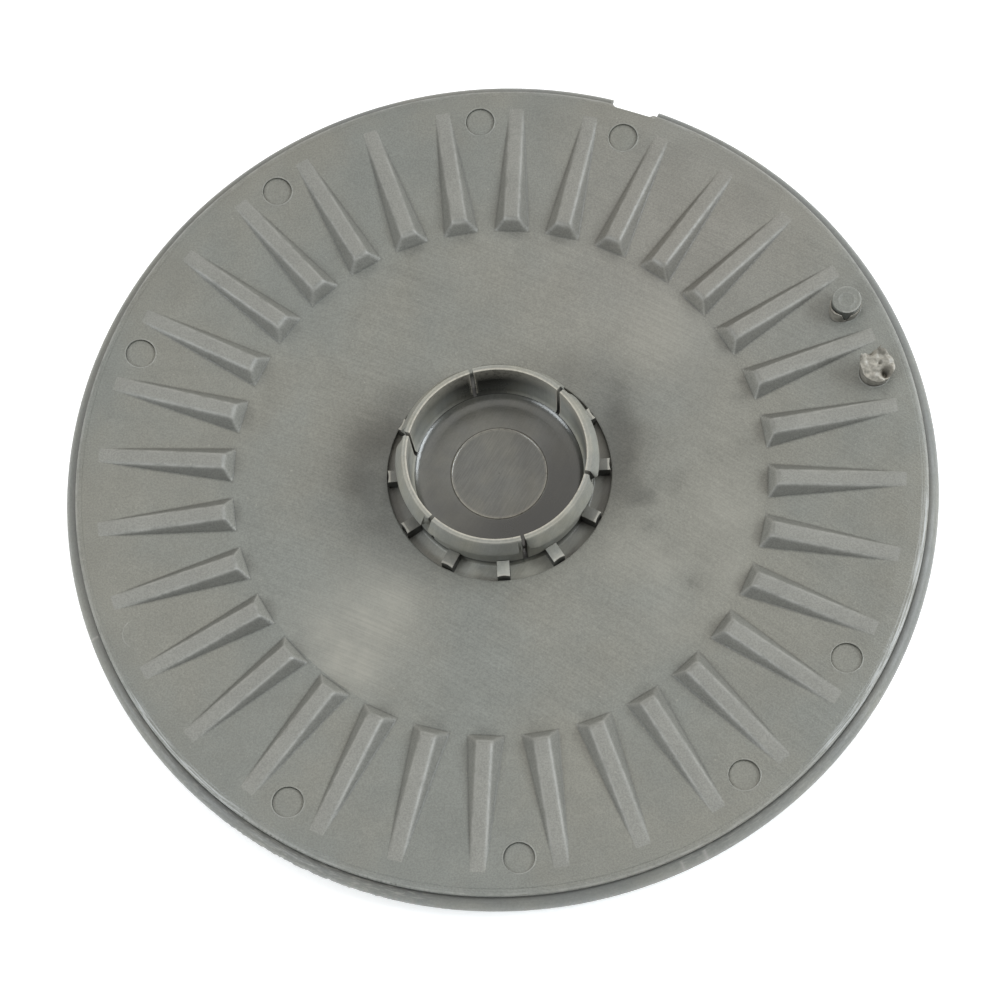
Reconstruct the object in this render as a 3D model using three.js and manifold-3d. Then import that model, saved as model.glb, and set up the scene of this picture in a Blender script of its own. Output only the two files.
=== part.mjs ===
// A round ribbed cover disc for a floor and surface cleaning machine, with a snap-in hub.
// Millimetres, +Z up. The origin is the centre of the flat underside, so the disc stands on z = 0.
// Pieces: a ribbed plate on top, a back shell under it, a hub cup through the plate's centre hole,
// six springy snap fingers round the cup, twelve lugs in the moat round them, and eleven pegs that
// stand on the back shell and reach through the plate near its rim.

import * as THREE from "three";
import { mergeVertices } from "three/addons/utils/BufferGeometryUtils.js";
import Module from "manifold-3d";

// Driving sizes. Radii are measured from the disc's axis, heights from the underside.
const GAP = 0.3; // clearance left between neighbouring pieces
const RIM_HEIGHT = 15; // height of the plate's outer land
const DISC_RADIUS = 150; // outside of the back shell's flange
const LIP_RADIUS = 146; // outside of the plate's lip
const LAND_RADIUS = 138.5; // where the outer land ends and the cone begins
const CENTRE_RADIUS = 91.5; // where the cone ends and the flat centre begins
const CENTRE_DROP = 6.3; // how far the flat centre lies under the land
const PLATE_HOLE_RADIUS = 38.7;
const PLATE_THICKNESS = 2.5;
const LIP_BEVEL_WIDTH = 2; // the lip falls away from the land over this width
const LIP_BEVEL_DEPTH = 1.6;
const LIP_SHOULDER = 0.6; // the bevel's bend, this far in from the lip and down from the land
const EDGE_BREAK = 0.4; // small bevel on the plate's lower lip and round its hole
const DISC_FACETS = 96;

// Ribs: level crests over the cone, so each is tallest at its inner end.
const RIB_COUNT = 32;
const RIB_CREST_HALF_WIDTH = 2.45;
const RIB_CREST_BEVEL = 0.6;
const RIB_SIDE_DRAFT = 0.78; // widening for each millimetre down
const RIB_INNER_RADIUS = 95.1; // inner end of the crest
const RIB_OUTER_RADIUS = 138.2;
const RIB_INNER_DROP = 1.4; // crest under the land at its inner end
const RIB_OUTER_DROP = 0.05;
const RIB_END_DRAFT = 0.6; // how far the inner end leans for each millimetre down
const RIB_ROOT_DEPTH = 1.2; // how far a rib is sunk into the plate

// Back shell.
const SHELL_FLOOR = 2.5;
const SHELL_WALL_OUTER = 144.2;
const SHELL_WALL_INNER = 141.5;
const SHELL_FOOT_RADIUS = 139;
const SHELL_TOP = 11.7;
const SHELL_BEND_HEIGHT = 4; // height over which the foot curves up into the wall
const HUB_SEAT_INNER = 33; // inside of the low ring the hub's flange sits on
const FLANGE_BOTTOM = 8.3; // underside of the rolled flange
const FLANGE_EDGE = 8.9; // height where the flange is widest
const FLANGE_TOP = 12;
const FLANGE_INNER = 146.4; // where the flange comes out from under the lip
const FLANGE_STEPS = 5;

// Hub cup, its moat and its lugs.
const CUP_FLOOR_TOP = 8.5;
const CUP_FLOOR_THICKNESS = 2.5;
const CUP_FILLET_WIDTH = 3.6; // between the cup's floor and its wall
const CUP_FILLET_STEPS = 3;
const CUP_NECK = 3; // how far the raised underside stops inside the wall
const CUP_WALL_INNER = 29.9;
const CUP_WALL_OUTER = 32.6;
const CUP_WALL_TOP = 10;
const GATE_MARK_RADIUS = 16.6;
const GATE_MARK_DEPTH = 0.25;
const GATE_MARK_HALF_WIDTH = 0.3;
const HUB_FLANGE_RADIUS = 44;
const HUB_FLANGE_TOP = 5.9;
const HUB_FLANGE_THICKNESS = 2.5;
const HUB_FACETS = 72;
const LUG_COUNT = 12;
const LUG_FIRST_ANGLE = 24;
const LUG_WIDTH = 4.4;
const LUG_TOP = 11.7;
const LUG_CORNER_GAP = 0.1; // more clearance at a lug's outer corners

// Snap fingers.
const FINGER_COUNT = 6;
const FIRST_SLIT_ANGLE = 37.8;
const SLIT_WIDTH = 1.3;
const COLLAR_TOP = 28.6;
const FINGER_ROOT = 10.4; // 0.4 mm over the cup's wall: the springy web between them is left out
const COLLAR_TOP_INNER = 30.4;
const COLLAR_TOP_OUTER = 31.2;
const COLLAR_BEVEL_RADIUS = 32.2;
const COLLAR_BEVEL_DROP = 0.7;
const BARB_RADIUS = 34.6;
const BARB_HEIGHT = 23.4; // where the barb is widest
const BARB_LAND = 0.9;
const BARB_ROOT_INSET = 1; // how far the barb ring reaches into the wall
const BARB_ROOT_STEP = 0.1; // small step inwards where the barb's underside meets the wall
const BARB_END_SETBACK = 1.9; // the barb stops this far short of each end of its finger

// Pegs, at half rib pitches round the rim.
const PEG_CIRCLE_RADIUS = 133.8;
const PEG_RADIUS = 4.85;
const PEG_HOLE_RADIUS = 5.15;
const PEG_FACETS = 24;
const PEG_SINK = 0.1; // how far a flush head lies under the plate's surface
const FLUSH_PEG_STEPS = [5, 7, 10, 13, 17, 20, 23, 26, 28];
const STANDING_PEG_STEP = 1;
const STANDING_PEG_TOP = 21;
const TORN_PEG_STEP = 0;
const TORN_PEG_MEAN_TOP = 18.8;
const TORN_PEG_RAGGEDNESS = 1.3; // height of its ragged points over and under the mean
const TORN_PEG_POINTS = 3;
const TORN_PEG_TURN = 0.8; // radians from one point's slope to the peg's outer side
const TORN_PEG_LEAN = [-0.15, 0.1]; // slope of its top outwards and sideways
const TORN_PEG_FACETS = 12;

// Notch in the rim.
const NOTCH_ANGLE = 61.9;
const NOTCH_RADIUS = 144.5; // bottom of the notch
const LIP_NOTCH_WIDTH = 15.4;
const FLANGE_NOTCH_WIDTH = 17.4;
const NOTCH_CORNER = 1.6;
const NOTCH_BOTTOM = 7.5; // the notch in the flange goes down to here
const CUT_OVERRUN = 5; // how far a cutting shape goes past what it cuts
const MERGE_DISTANCE = 1e-4;

const PLATE_COLOUR = 0x868780;
const SHELL_COLOUR = 0x767770;
const CUP_COLOUR = 0x6e6f68;
const FINGER_COLOUR = 0x7c7d77;
const TORN_COLOUR = 0x9a938c;
const GRAINED = 0.5; // roughness of moulded faces with a grain
const SMOOTH = 0.35;
const ROUGH = 0.9;

const wasm = await Module();
wasm.setup();

const radians = THREE.MathUtils.degToRad;
const coneSlope = CENTRE_DROP / (LAND_RADIUS - CENTRE_RADIUS);
const ribPitch = 360 / RIB_COUNT;

// Height of the plate's upper surface on the cone.
function coneHeight(radius) {
  return RIM_HEIGHT - (LAND_RADIUS - radius) * coneSlope;
}

// A three.js geometry as a solid.
function toSolid(geometry) {
  const bare = geometry.clone();
  bare.deleteAttribute("normal");
  bare.deleteAttribute("uv");
  const merged = mergeVertices(bare, MERGE_DISTANCE);
  return new wasm.Manifold(
    new wasm.Mesh({
      numProp: 3,
      vertProperties: new Float32Array(merged.attributes.position.array),
      triVerts: new Uint32Array(merged.index.array),
    }),
  );
}

// A solid as a three.js geometry.
function toGeometry(solid) {
  const mesh = solid.getMesh();
  const geometry = new THREE.BufferGeometry();
  const positions = new Float32Array(mesh.vertProperties);
  geometry.setAttribute("position", new THREE.BufferAttribute(positions, 3));
  geometry.setIndex(new THREE.BufferAttribute(new Uint32Array(mesh.triVerts), 1));
  geometry.computeVertexNormals();
  return geometry;
}

// A profile of [radius, height] points, turned about the Z axis.
function turned(profile, facets) {
  const points = profile.map(([radius, height]) => new THREE.Vector2(radius, height));
  return toSolid(new THREE.LatheGeometry(points, facets).rotateX(Math.PI / 2));
}

// Points of a quarter of an ellipse, from its outermost point to its highest or the other way.
function quarterRound([radius, height], [wide, high], startAngle, endAngle, steps) {
  const points = [];
  for (let i = 0; i <= steps; i += 1) {
    const angle = radians(startAngle + ((endAngle - startAngle) * i) / steps);
    points.push([radius + wide * Math.cos(angle), height + high * Math.sin(angle)]);
  }
  return points;
}

// An upright cylinder between two heights at a distance from the axis.
function uprightCylinder(radius, bottom, top, distance, angle, facets) {
  const geometry = new THREE.CylinderGeometry(radius, radius, top - bottom, facets)
    .rotateX(Math.PI / 2)
    .translate(distance, 0, (top + bottom) / 2)
    .rotateZ(radians(angle));
  return toSolid(geometry);
}

// A closed outline of [x, y] points, pulled up from one height to another.
function pulledUp(outline, bottom, top) {
  const shape = new THREE.Shape(outline.map(([x, y]) => new THREE.Vector2(x, y)));
  const settings = { depth: top - bottom, bevelEnabled: false };
  return new THREE.ExtrudeGeometry(shape, settings).translate(0, 0, bottom);
}

// One rib along +X: a tapered box whose crest is nearly level and whose root follows the cone.
// The box is three strips wide: the crest's flat middle and a bevelled strip on each side.
function ribGeometry() {
  const length = RIB_OUTER_RADIUS - RIB_INNER_RADIUS;
  const crestSlope = (RIB_INNER_DROP - RIB_OUTER_DROP) / length;
  const crestHeight = (x) => RIM_HEIGHT - RIB_INNER_DROP + (x - RIB_INNER_RADIUS) * crestSlope;
  const rootHeight = (x) => coneHeight(x) - RIB_ROOT_DEPTH;
  const innerDepth = crestHeight(RIB_INNER_RADIUS) - rootHeight(RIB_INNER_RADIUS);
  const innerRootX = RIB_INNER_RADIUS - innerDepth * RIB_END_DRAFT;
  const geometry = new THREE.BoxGeometry(1, 1, 1, 1, 3, 1);
  const position = geometry.attributes.position;
  for (let i = 0; i < position.count; i += 1) {
    const outerEnd = position.getX(i) > 0;
    const upper = position.getZ(i) > 0;
    const side = Math.sign(position.getY(i));
    const edge = Math.abs(position.getY(i)) > 1 / 3;
    const endX = upper ? RIB_INNER_RADIUS : innerRootX;
    const x = outerEnd ? RIB_OUTER_RADIUS : endX;
    const crest = crestHeight(Math.max(x, RIB_INNER_RADIUS));
    const shoulder = crest - RIB_CREST_BEVEL;
    const z = upper ? (edge ? shoulder : crest) : rootHeight(x);
    const spread = upper ? 0 : RIB_SIDE_DRAFT * (shoulder - z);
    const inset = edge ? 0 : RIB_CREST_BEVEL;
    position.setXYZ(i, x, side * (RIB_CREST_HALF_WIDTH + spread - inset), z);
  }
  return geometry;
}

// An outline that cuts a notch with bevelled inner corners into the rim.
function notchOutline(width) {
  const half = width / 2;
  const outside = DISC_RADIUS + CUT_OVERRUN;
  return [
    [NOTCH_RADIUS, -half + NOTCH_CORNER],
    [NOTCH_RADIUS + NOTCH_CORNER, -half],
    [outside, -half],
    [outside, half],
    [NOTCH_RADIUS + NOTCH_CORNER, half],
    [NOTCH_RADIUS, half - NOTCH_CORNER],
  ];
}

function notchCutter(width, bottom, top) {
  return toSolid(pulledUp(notchOutline(width), bottom, top).rotateZ(radians(NOTCH_ANGLE)));
}

function pegAngle(step) {
  return (step + 0.5) * ribPitch;
}

// The plate: land, cone and flat centre, with ribs joined on and holes and notch cut out.
function ribbedPlate() {
  const under = PLATE_THICKNESS;
  const centre = RIM_HEIGHT - CENTRE_DROP;
  let plate = turned(
    [
      [PLATE_HOLE_RADIUS, centre - under],
      [CENTRE_RADIUS, centre - under],
      [LAND_RADIUS, RIM_HEIGHT - under],
      [LIP_RADIUS - EDGE_BREAK, RIM_HEIGHT - under],
      [LIP_RADIUS, RIM_HEIGHT - under + EDGE_BREAK],
      [LIP_RADIUS, RIM_HEIGHT - LIP_BEVEL_DEPTH],
      [LIP_RADIUS - LIP_SHOULDER, RIM_HEIGHT - LIP_SHOULDER],
      [LIP_RADIUS - LIP_BEVEL_WIDTH, RIM_HEIGHT],
      [LAND_RADIUS, RIM_HEIGHT],
      [CENTRE_RADIUS, centre],
      [PLATE_HOLE_RADIUS + EDGE_BREAK, centre],
      [PLATE_HOLE_RADIUS, centre - EDGE_BREAK],
      [PLATE_HOLE_RADIUS, centre - under],
    ],
    DISC_FACETS,
  );
  for (let i = 0; i < RIB_COUNT; i += 1) {
    plate = plate.add(toSolid(ribGeometry().rotateZ(radians(i * ribPitch))));
  }
  for (const step of [...FLUSH_PEG_STEPS, STANDING_PEG_STEP, TORN_PEG_STEP]) {
    const hole = [PEG_HOLE_RADIUS, 0, RIM_HEIGHT + CUT_OVERRUN, PEG_CIRCLE_RADIUS, pegAngle(step)];
    plate = plate.subtract(uprightCylinder(...hole, PEG_FACETS));
  }
  return plate.subtract(notchCutter(LIP_NOTCH_WIDTH, 0, RIM_HEIGHT + CUT_OVERRUN));
}

// The shell: a shallow dish whose rolled flange shows under the plate's lip.
function backShell() {
  const seatTop = HUB_FLANGE_TOP - HUB_FLANGE_THICKNESS - GAP;
  const seatOuter = HUB_FLANGE_RADIUS + GAP;
  const flangeReach = [DISC_RADIUS - FLANGE_INNER, FLANGE_TOP - FLANGE_EDGE];
  const shell = turned(
    [
      [0, 0],
      [SHELL_FOOT_RADIUS, 0],
      [SHELL_WALL_OUTER, SHELL_BEND_HEIGHT],
      [SHELL_WALL_OUTER, FLANGE_BOTTOM],
      [DISC_RADIUS - (FLANGE_EDGE - FLANGE_BOTTOM), FLANGE_BOTTOM],
      ...quarterRound([FLANGE_INNER, FLANGE_EDGE], flangeReach, 0, 90, FLANGE_STEPS),
      [LIP_RADIUS - EDGE_BREAK, SHELL_TOP],
      [SHELL_WALL_INNER, SHELL_TOP],
      [SHELL_WALL_INNER, SHELL_FLOOR],
      [seatOuter, SHELL_FLOOR],
      [seatOuter, seatTop],
      [HUB_SEAT_INNER, seatTop],
      [HUB_SEAT_INNER, SHELL_FLOOR],
      [0, SHELL_FLOOR],
    ],
    DISC_FACETS,
  );
  return shell.subtract(notchCutter(FLANGE_NOTCH_WIDTH, NOTCH_BOTTOM, RIM_HEIGHT));
}

// The hub cup: a floor with a round gate mark, the root of its wall, and a flange under the plate.
function hubCup() {
  const flangeBottom = HUB_FLANGE_TOP - HUB_FLANGE_THICKNESS;
  const floorBottom = CUP_FLOOR_TOP - CUP_FLOOR_THICKNESS;
  const filletCentre = [CUP_WALL_INNER - CUP_FILLET_WIDTH, CUP_WALL_TOP];
  const filletReach = [CUP_FILLET_WIDTH, CUP_WALL_TOP - CUP_FLOOR_TOP];
  return turned(
    [
      [0, floorBottom],
      [CUP_WALL_INNER - CUP_NECK, floorBottom],
      [CUP_WALL_INNER - EDGE_BREAK, flangeBottom],
      [HUB_FLANGE_RADIUS, flangeBottom],
      [HUB_FLANGE_RADIUS, HUB_FLANGE_TOP],
      [CUP_WALL_OUTER, HUB_FLANGE_TOP],
      [CUP_WALL_OUTER, CUP_WALL_TOP],
      ...quarterRound(filletCentre, filletReach, 0, -90, CUP_FILLET_STEPS),
      [GATE_MARK_RADIUS + GATE_MARK_HALF_WIDTH, CUP_FLOOR_TOP],
      [GATE_MARK_RADIUS, CUP_FLOOR_TOP - GATE_MARK_DEPTH],
      [GATE_MARK_RADIUS - GATE_MARK_HALF_WIDTH, CUP_FLOOR_TOP],
      [0, CUP_FLOOR_TOP],
    ],
    HUB_FACETS,
  );
}

// A lug between the cup's wall and the edge of the plate's hole, standing on the hub's flange.
function lugGeometry(angle) {
  const inner = CUP_WALL_OUTER + GAP;
  const corner = Math.sqrt((PLATE_HOLE_RADIUS - GAP) ** 2 - (LUG_WIDTH / 2) ** 2);
  const outer = corner - LUG_CORNER_GAP;
  const bottom = HUB_FLANGE_TOP + GAP;
  return new THREE.BoxGeometry(outer - inner, LUG_WIDTH, LUG_TOP - bottom)
    .translate((outer + inner) / 2, 0, (LUG_TOP + bottom) / 2)
    .rotateZ(radians(angle));
}

// The whole collar's plain wall, from the finger roots to the top.
function collarWall() {
  return turned(
    [
      [CUP_WALL_INNER, FINGER_ROOT],
      [CUP_WALL_OUTER, FINGER_ROOT],
      [COLLAR_BEVEL_RADIUS, COLLAR_TOP - COLLAR_BEVEL_DROP],
      [COLLAR_TOP_OUTER, COLLAR_TOP],
      [COLLAR_TOP_INNER, COLLAR_TOP],
      [CUP_WALL_INNER, FINGER_ROOT],
    ],
    HUB_FACETS,
  );
}

// The ring of barb outside the collar: a ramp down to the widest point, then an undercut.
function barbRing() {
  const underside = BARB_HEIGHT - BARB_LAND;
  const root = underside - (BARB_RADIUS - CUP_WALL_OUTER);
  const inside = COLLAR_BEVEL_RADIUS - BARB_ROOT_INSET;
  return turned(
    [
      [inside, root],
      [CUP_WALL_OUTER - BARB_ROOT_STEP, root],
      [BARB_RADIUS, underside],
      [BARB_RADIUS, BARB_HEIGHT],
      [COLLAR_BEVEL_RADIUS, COLLAR_TOP - COLLAR_BEVEL_DROP],
      [inside, COLLAR_TOP - COLLAR_BEVEL_DROP],
      [inside, root],
    ],
    HUB_FACETS,
  );
}

// A wedge from the axis outwards between two slits, drawn in from both by a setback.
function sector(middleAngle, setback) {
  const half = radians(180 / FINGER_COUNT);
  const tip = setback / Math.sin(half);
  const reach = 2 * BARB_RADIUS;
  const outline = [
    [tip, 0],
    [tip + reach * Math.cos(half), -reach * Math.sin(half)],
    [tip + reach * Math.cos(half), reach * Math.sin(half)],
  ];
  return toSolid(pulledUp(outline, 0, COLLAR_TOP + CUT_OVERRUN).rotateZ(radians(middleAngle)));
}

function snapFinger(wall, barb, middleAngle) {
  const setback = SLIT_WIDTH / 2;
  const stem = wall.intersect(sector(middleAngle, setback));
  return stem.add(barb.intersect(sector(middleAngle, setback + BARB_END_SETBACK)));
}

// A peg whose top is tilted like the cone, so that a flush head follows the plate's surface.
function pegGeometry(step, top) {
  const bottom = SHELL_FLOOR + GAP;
  const geometry = new THREE.CylinderGeometry(PEG_RADIUS, PEG_RADIUS, top - bottom, PEG_FACETS);
  geometry.rotateX(Math.PI / 2).translate(0, 0, (top + bottom) / 2);
  const position = geometry.attributes.position;
  for (let i = 0; i < position.count; i += 1) {
    if (position.getZ(i) > bottom + GAP) {
      position.setZ(i, top + position.getX(i) * coneSlope);
    }
  }
  return geometry.translate(PEG_CIRCLE_RADIUS, 0, 0).rotateZ(radians(pegAngle(step)));
}

// The stub of a peg that was torn off: its top is a ragged slope with a few points. The cylinder
// is made one unit tall with three rings, and each ring then goes to its own height.
function tornPegGeometry() {
  const bottom = SHELL_FLOOR + GAP;
  const geometry = new THREE.CylinderGeometry(PEG_RADIUS, PEG_RADIUS, 1, TORN_PEG_FACETS, 2);
  geometry.rotateX(Math.PI / 2);
  const position = geometry.attributes.position;
  for (let i = 0; i < position.count; i += 1) {
    const x = position.getX(i);
    const y = position.getY(i);
    const around = TORN_PEG_POINTS * Math.atan2(y, x) + TORN_PEG_TURN;
    const points = TORN_PEG_RAGGEDNESS * Math.sin(around);
    const slope = TORN_PEG_LEAN[0] * x + TORN_PEG_LEAN[1] * y;
    const heights = [bottom, RIM_HEIGHT, TORN_PEG_MEAN_TOP + points + slope];
    const ring = Math.round((position.getZ(i) + 0.5) * 2);
    position.setZ(i, heights[ring]);
  }
  return geometry
    .translate(PEG_CIRCLE_RADIUS, 0, 0)
    .rotateZ(radians(pegAngle(TORN_PEG_STEP)));
}

function plastic(color, roughness) {
  return new THREE.MeshStandardMaterial({ color, roughness, metalness: 0 });
}

const group = new THREE.Group();

function addPiece(name, shape, material) {
  const geometry = shape.isBufferGeometry ? shape : toGeometry(shape);
  const mesh = new THREE.Mesh(geometry, material);
  mesh.name = name;
  group.add(mesh);
}

addPiece("ribbed_plate", ribbedPlate(), plastic(PLATE_COLOUR, GRAINED));
addPiece("back_shell", backShell(), plastic(SHELL_COLOUR, GRAINED));
addPiece("hub_cup", hubCup(), plastic(CUP_COLOUR, SMOOTH));

for (let i = 0; i < LUG_COUNT; i += 1) {
  const angle = LUG_FIRST_ANGLE + (i * 360) / LUG_COUNT;
  const name = "locating_lug_" + String(i + 1).padStart(2, "0");
  addPiece(name, lugGeometry(angle), plastic(PLATE_COLOUR, GRAINED));
}

const wall = collarWall();
const barb = barbRing();
for (let i = 0; i < FINGER_COUNT; i += 1) {
  const middle = FIRST_SLIT_ANGLE + ((i + 0.5) * 360) / FINGER_COUNT;
  addPiece("snap_finger_" + (i + 1), snapFinger(wall, barb, middle), plastic(FINGER_COLOUR, SMOOTH));
}

FLUSH_PEG_STEPS.forEach((step, i) => {
  const top = coneHeight(PEG_CIRCLE_RADIUS) - PEG_SINK;
  addPiece("fixing_peg_" + (i + 1), pegGeometry(step, top), plastic(PLATE_COLOUR, GRAINED));
});
const standingPeg = pegGeometry(STANDING_PEG_STEP, STANDING_PEG_TOP);
addPiece("standing_peg", standingPeg, plastic(PLATE_COLOUR, GRAINED));
addPiece("torn_peg", tornPegGeometry(), plastic(TORN_COLOUR, ROUGH));

export default group;
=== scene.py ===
"""Looks of the round ribbed disc of a surface cleaner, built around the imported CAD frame.

Every size below is in millimetres in the CAD part's own frame: the disc stands on z = 0, its axis is
+Z and +X runs along the middle of one rib. Meshes are made in metres, in that same frame.
"""
import math

import bmesh
import bpy
import numpy as np
from mathutils import Matrix, Vector, noise


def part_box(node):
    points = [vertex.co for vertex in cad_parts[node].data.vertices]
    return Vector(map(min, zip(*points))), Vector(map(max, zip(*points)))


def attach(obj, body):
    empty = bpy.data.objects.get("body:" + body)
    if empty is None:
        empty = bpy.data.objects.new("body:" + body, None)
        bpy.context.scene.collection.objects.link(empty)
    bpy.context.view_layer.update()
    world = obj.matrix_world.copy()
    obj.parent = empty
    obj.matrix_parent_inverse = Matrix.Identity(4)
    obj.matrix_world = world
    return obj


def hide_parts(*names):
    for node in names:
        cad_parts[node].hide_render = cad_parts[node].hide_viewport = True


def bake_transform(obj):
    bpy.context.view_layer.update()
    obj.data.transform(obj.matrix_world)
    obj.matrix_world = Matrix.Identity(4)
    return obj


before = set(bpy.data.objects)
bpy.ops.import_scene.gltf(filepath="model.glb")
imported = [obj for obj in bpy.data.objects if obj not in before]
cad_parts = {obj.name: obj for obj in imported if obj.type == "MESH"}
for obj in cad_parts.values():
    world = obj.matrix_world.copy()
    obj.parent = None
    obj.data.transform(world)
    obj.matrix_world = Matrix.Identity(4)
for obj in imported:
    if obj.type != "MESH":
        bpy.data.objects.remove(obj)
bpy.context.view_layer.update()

MM = 0.001

# Sizes read from the CAD nodes.
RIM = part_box("ribbed_plate")[1].z / MM  # height of the plate's outer land
LIP_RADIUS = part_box("ribbed_plate")[1].x / MM
DISC_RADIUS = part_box("back_shell")[1].x / MM
FLANGE_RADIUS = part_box("hub_cup")[1].x / MM
COLLAR_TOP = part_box("snap_finger_1")[1].z / MM
LUG_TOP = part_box("locating_lug_01")[1].z / MM
PEG_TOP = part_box("standing_peg")[1].z / MM
PEG_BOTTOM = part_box("standing_peg")[0].z / MM

# Plate.
LAND_RADIUS = 138.5
CENTRE_RADIUS = 91.5
CENTRE_DROP = 6.3
GROOVE_RADIUS = 90.0  # a faint groove round the flat centre, down to the cone's own surface
GROOVE_DEPTH = 0.7
HOLE_RADIUS = 38.7
THICKNESS = 2.5
RIB_COUNT = 32
PITCH = 2 * math.pi / RIB_COUNT
CREST_HALF = 2.45
SIDE_DRAFT = 0.78  # widening for each millimetre down
RIB_INNER = 95.1
RIB_OUTER = 138.2
CREST_INNER = RIM - 1.4
CREST_OUTER = RIM + 0.05
END_DRAFT = 0.6
END_RUN = END_DRAFT * 4.8  # length of a rib's sloped inner end
CONE_SLOPE = CENTRE_DROP / (LAND_RADIUS - CENTRE_RADIUS)
CREST_SLOPE = (CREST_OUTER - CREST_INNER) / (RIB_OUTER - RIB_INNER)
CONE_BLEND = 0.12  # reaches over which the plate's and the ribs' faces round into each other
LAND_BLEND = 0.1
CREST_BLEND = 1.3
RIB_BLEND = 2.4
ROOT_BLEND = 0.45

# Painted shade on the ribs' sides and painted light on their inner ends are strongest along this
# direction.
SHADE_TURN = math.radians(10)  # ribs along this direction have the darkest sides and palest ends
BITE_COUNT = 580  # tool bites in a whole turn of the lip, of which one short row shows

# Back shell.
SHELL_FLOOR = 2.5
ROLL_CENTRE = (146.4, 8.9)
JOINT_LEVEL = 11.75
JOINT_RADIUS = 141.5
NICK_DEPTH = 0.0024  # share of the radius

# Pegs.
PEG_CIRCLE = 133.8
PEG_RADIUS = 5.02
PEG_HOLE = 5.15
FLUSH_STEPS = (5, 7, 10, 13, 17, 20, 23, 26, 28)
STANDING_STEP = 1
TORN_STEP = 0
FAINT_STEP = 17
PEG_RECESS = 0.75

# Notch.
NOTCH_ANGLE = math.radians(61.9)
NOTCH_RADIUS = 144.5
LIP_NOTCH_WIDTH = 15.4
FLANGE_NOTCH_WIDTH = 17.4

# Hub.
CUP_FLOOR = 8.5
CUP_WALL_TOP = 10.0
CUP_INNER = 29.9
CUP_FILLET = (5.5, 3.0)  # its upper half belongs to the fingers
CUP_OUTER = 32.6
MOAT_FLOOR = 5.9
GATE_RADIUS = 16.6
# Section of the gate mark's ridge and groove: out from its radius, up from the floor.
GATE_SECTION = ((-0.35, 0.14), (-0.1, 0.16), (0.05, -0.06), (0.2, -0.14), (0.5, -0.14), (0.9, -0.03))
LUG_COUNT = 12
LUG_FIRST = math.radians(24)
LUG_WIDTH = 4.4
LUG_HOLLOW = 0.35
FINGER_COUNT = 6
FIRST_SLIT = math.radians(37.8)
SLIT_WIDTH = 1.3
BACK_SLIT = FIRST_SLIT + 2 * math.pi / FINGER_COUNT
FRONT_SLIT = BACK_SLIT - math.pi
BARB_RADIUS = 34.6
BARB_HEIGHT = 23.4

# Ends of the snap fingers' barbs, as steps of
# (degrees from the slit, share of the barb, share of the wall).
STRAIGHT = ((0, 1.0, 1.0), (0.5, 1.0, 1.0), (4, 1.0, 1.0))
BLUNT = ((0, 0.45, 1.0), (0.5, 0.75, 1.0), (1.2, 0.95, 1.0), (2.2, 1.0, 1.0))
ROUNDED = ((0, 0.0, 0.45), (0.9, 0.32, 0.75), (2.2, 0.62, 0.95), (4.0, 0.86, 1.0), (6.5, 1.0, 1.0))
STEPPED = ((0, 0.0, 0.4), (1.4, 0.15, 0.85), (2.9, 0.4, 1.0), (3.2, 1.0, 1.0))
RIDGED = ((0, 0.55, 1.0), (1.3, 0.6, 1.0), (1.7, 0.35, 1.0), (2.6, 0.4, 1.0), (3.0, 1.0, 1.0))
FINGER_ENDS = (
    (BLUNT, ROUNDED), (ROUNDED, STEPPED), (ROUNDED, STEPPED),
    (STRAIGHT, RIDGED), (ROUNDED, ROUNDED), (BLUNT, ROUNDED),
)

# Painted light and shade round the hub: (change, direction in degrees, reach in degrees).
FLOOR_TONES = ((0.3, 40, 18),)
MOAT_TONES = ((0.65, -118, 35), (-0.3, -15, 25), (-0.35, 188, 20))
LOW_WALL_TONES = ((0.7, 36, 16), (0.7, 160, 12), (-0.4, 90, 24))
HIGH_WALL_TONES = ((0.8, 34, 14), (0.4, 160, 7), (-0.8, 90, 22))
LUG_TONES = ((1.0, -92, 38), (0.6, 38, 25), (0.5, 140, 22), (-0.4, 84, 12))
# Painted shadows of the hub on the plate's centre: (change, direction in degrees, reach in degrees).
HUB_SHADOW_TONES = ((1.2, 8, 36), (1.2, 168, 38))

# Dirty patches on the plate: x, y, reach and strength.
STAINS = (
    (47, -17, 4, 0.7), (47, -27, 3.5, 0.6), (53, -37, 3, 0.45), (59, -49, 4, 0.6), (60, -13, 5, 0.35),
    (74, -9, 6, 0.3), (87, -5, 6, 0.35), (88, 14, 6, 0.35), (-20, 62, 20, 0.1),
    (124.8, 0.3, 1.6, 0.8), (133.3, 1.2, 1.1, 0.8), (134.5, 4.6, 1.2, 0.7), (142, 2, 1.2, 0.5),
)
# Paler patches: x, y, reach and strength.
PALE = (
    (-57, -48, 18, 1.0), (-42, -36, 9, 0.6), (-60, -63, 10, 0.5), (48, -42, 8, 0.5), (48, -62, 8, 0.4),
    (75, -27, 11, 0.45), (73, -49, 7, 0.4), (66, 44, 15, 0.5), (36, -36, 7, 0.2),
)

# The part of the plate that has aged to a warmer grey: x, y, reach and strength.
AGED = ((78, 78, 52, 1.0),)

# Scraped stretches of the rim in degrees: start, end, reach of the soft ends and strength.
# On the lip, the scrapes' pale bluish streaks are partly a painted highlight.
LIP_SCUFFS = ((203, 228, 3, 0.9), (306, 348, 3, 0.9))
LIP_BITES = ((225, 236, 2, 1.0), (242, 254, 3, 0.7))
FLANGE_SCUFFS = ((203, 236, 3, 0.5), (283, 322, 3, 0.35), (228, 254, 3, 0.8))
FAINT_SCUFF = 0.12  # all round the rim
# Pale moulding seams across the flange: (strength, direction in degrees, reach in degrees).
FLANGE_SEAMS = ((1.0, 194.6, 0.11), (0.7, 288.2, 0.2), (0.5, 285, 0.2))

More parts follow.
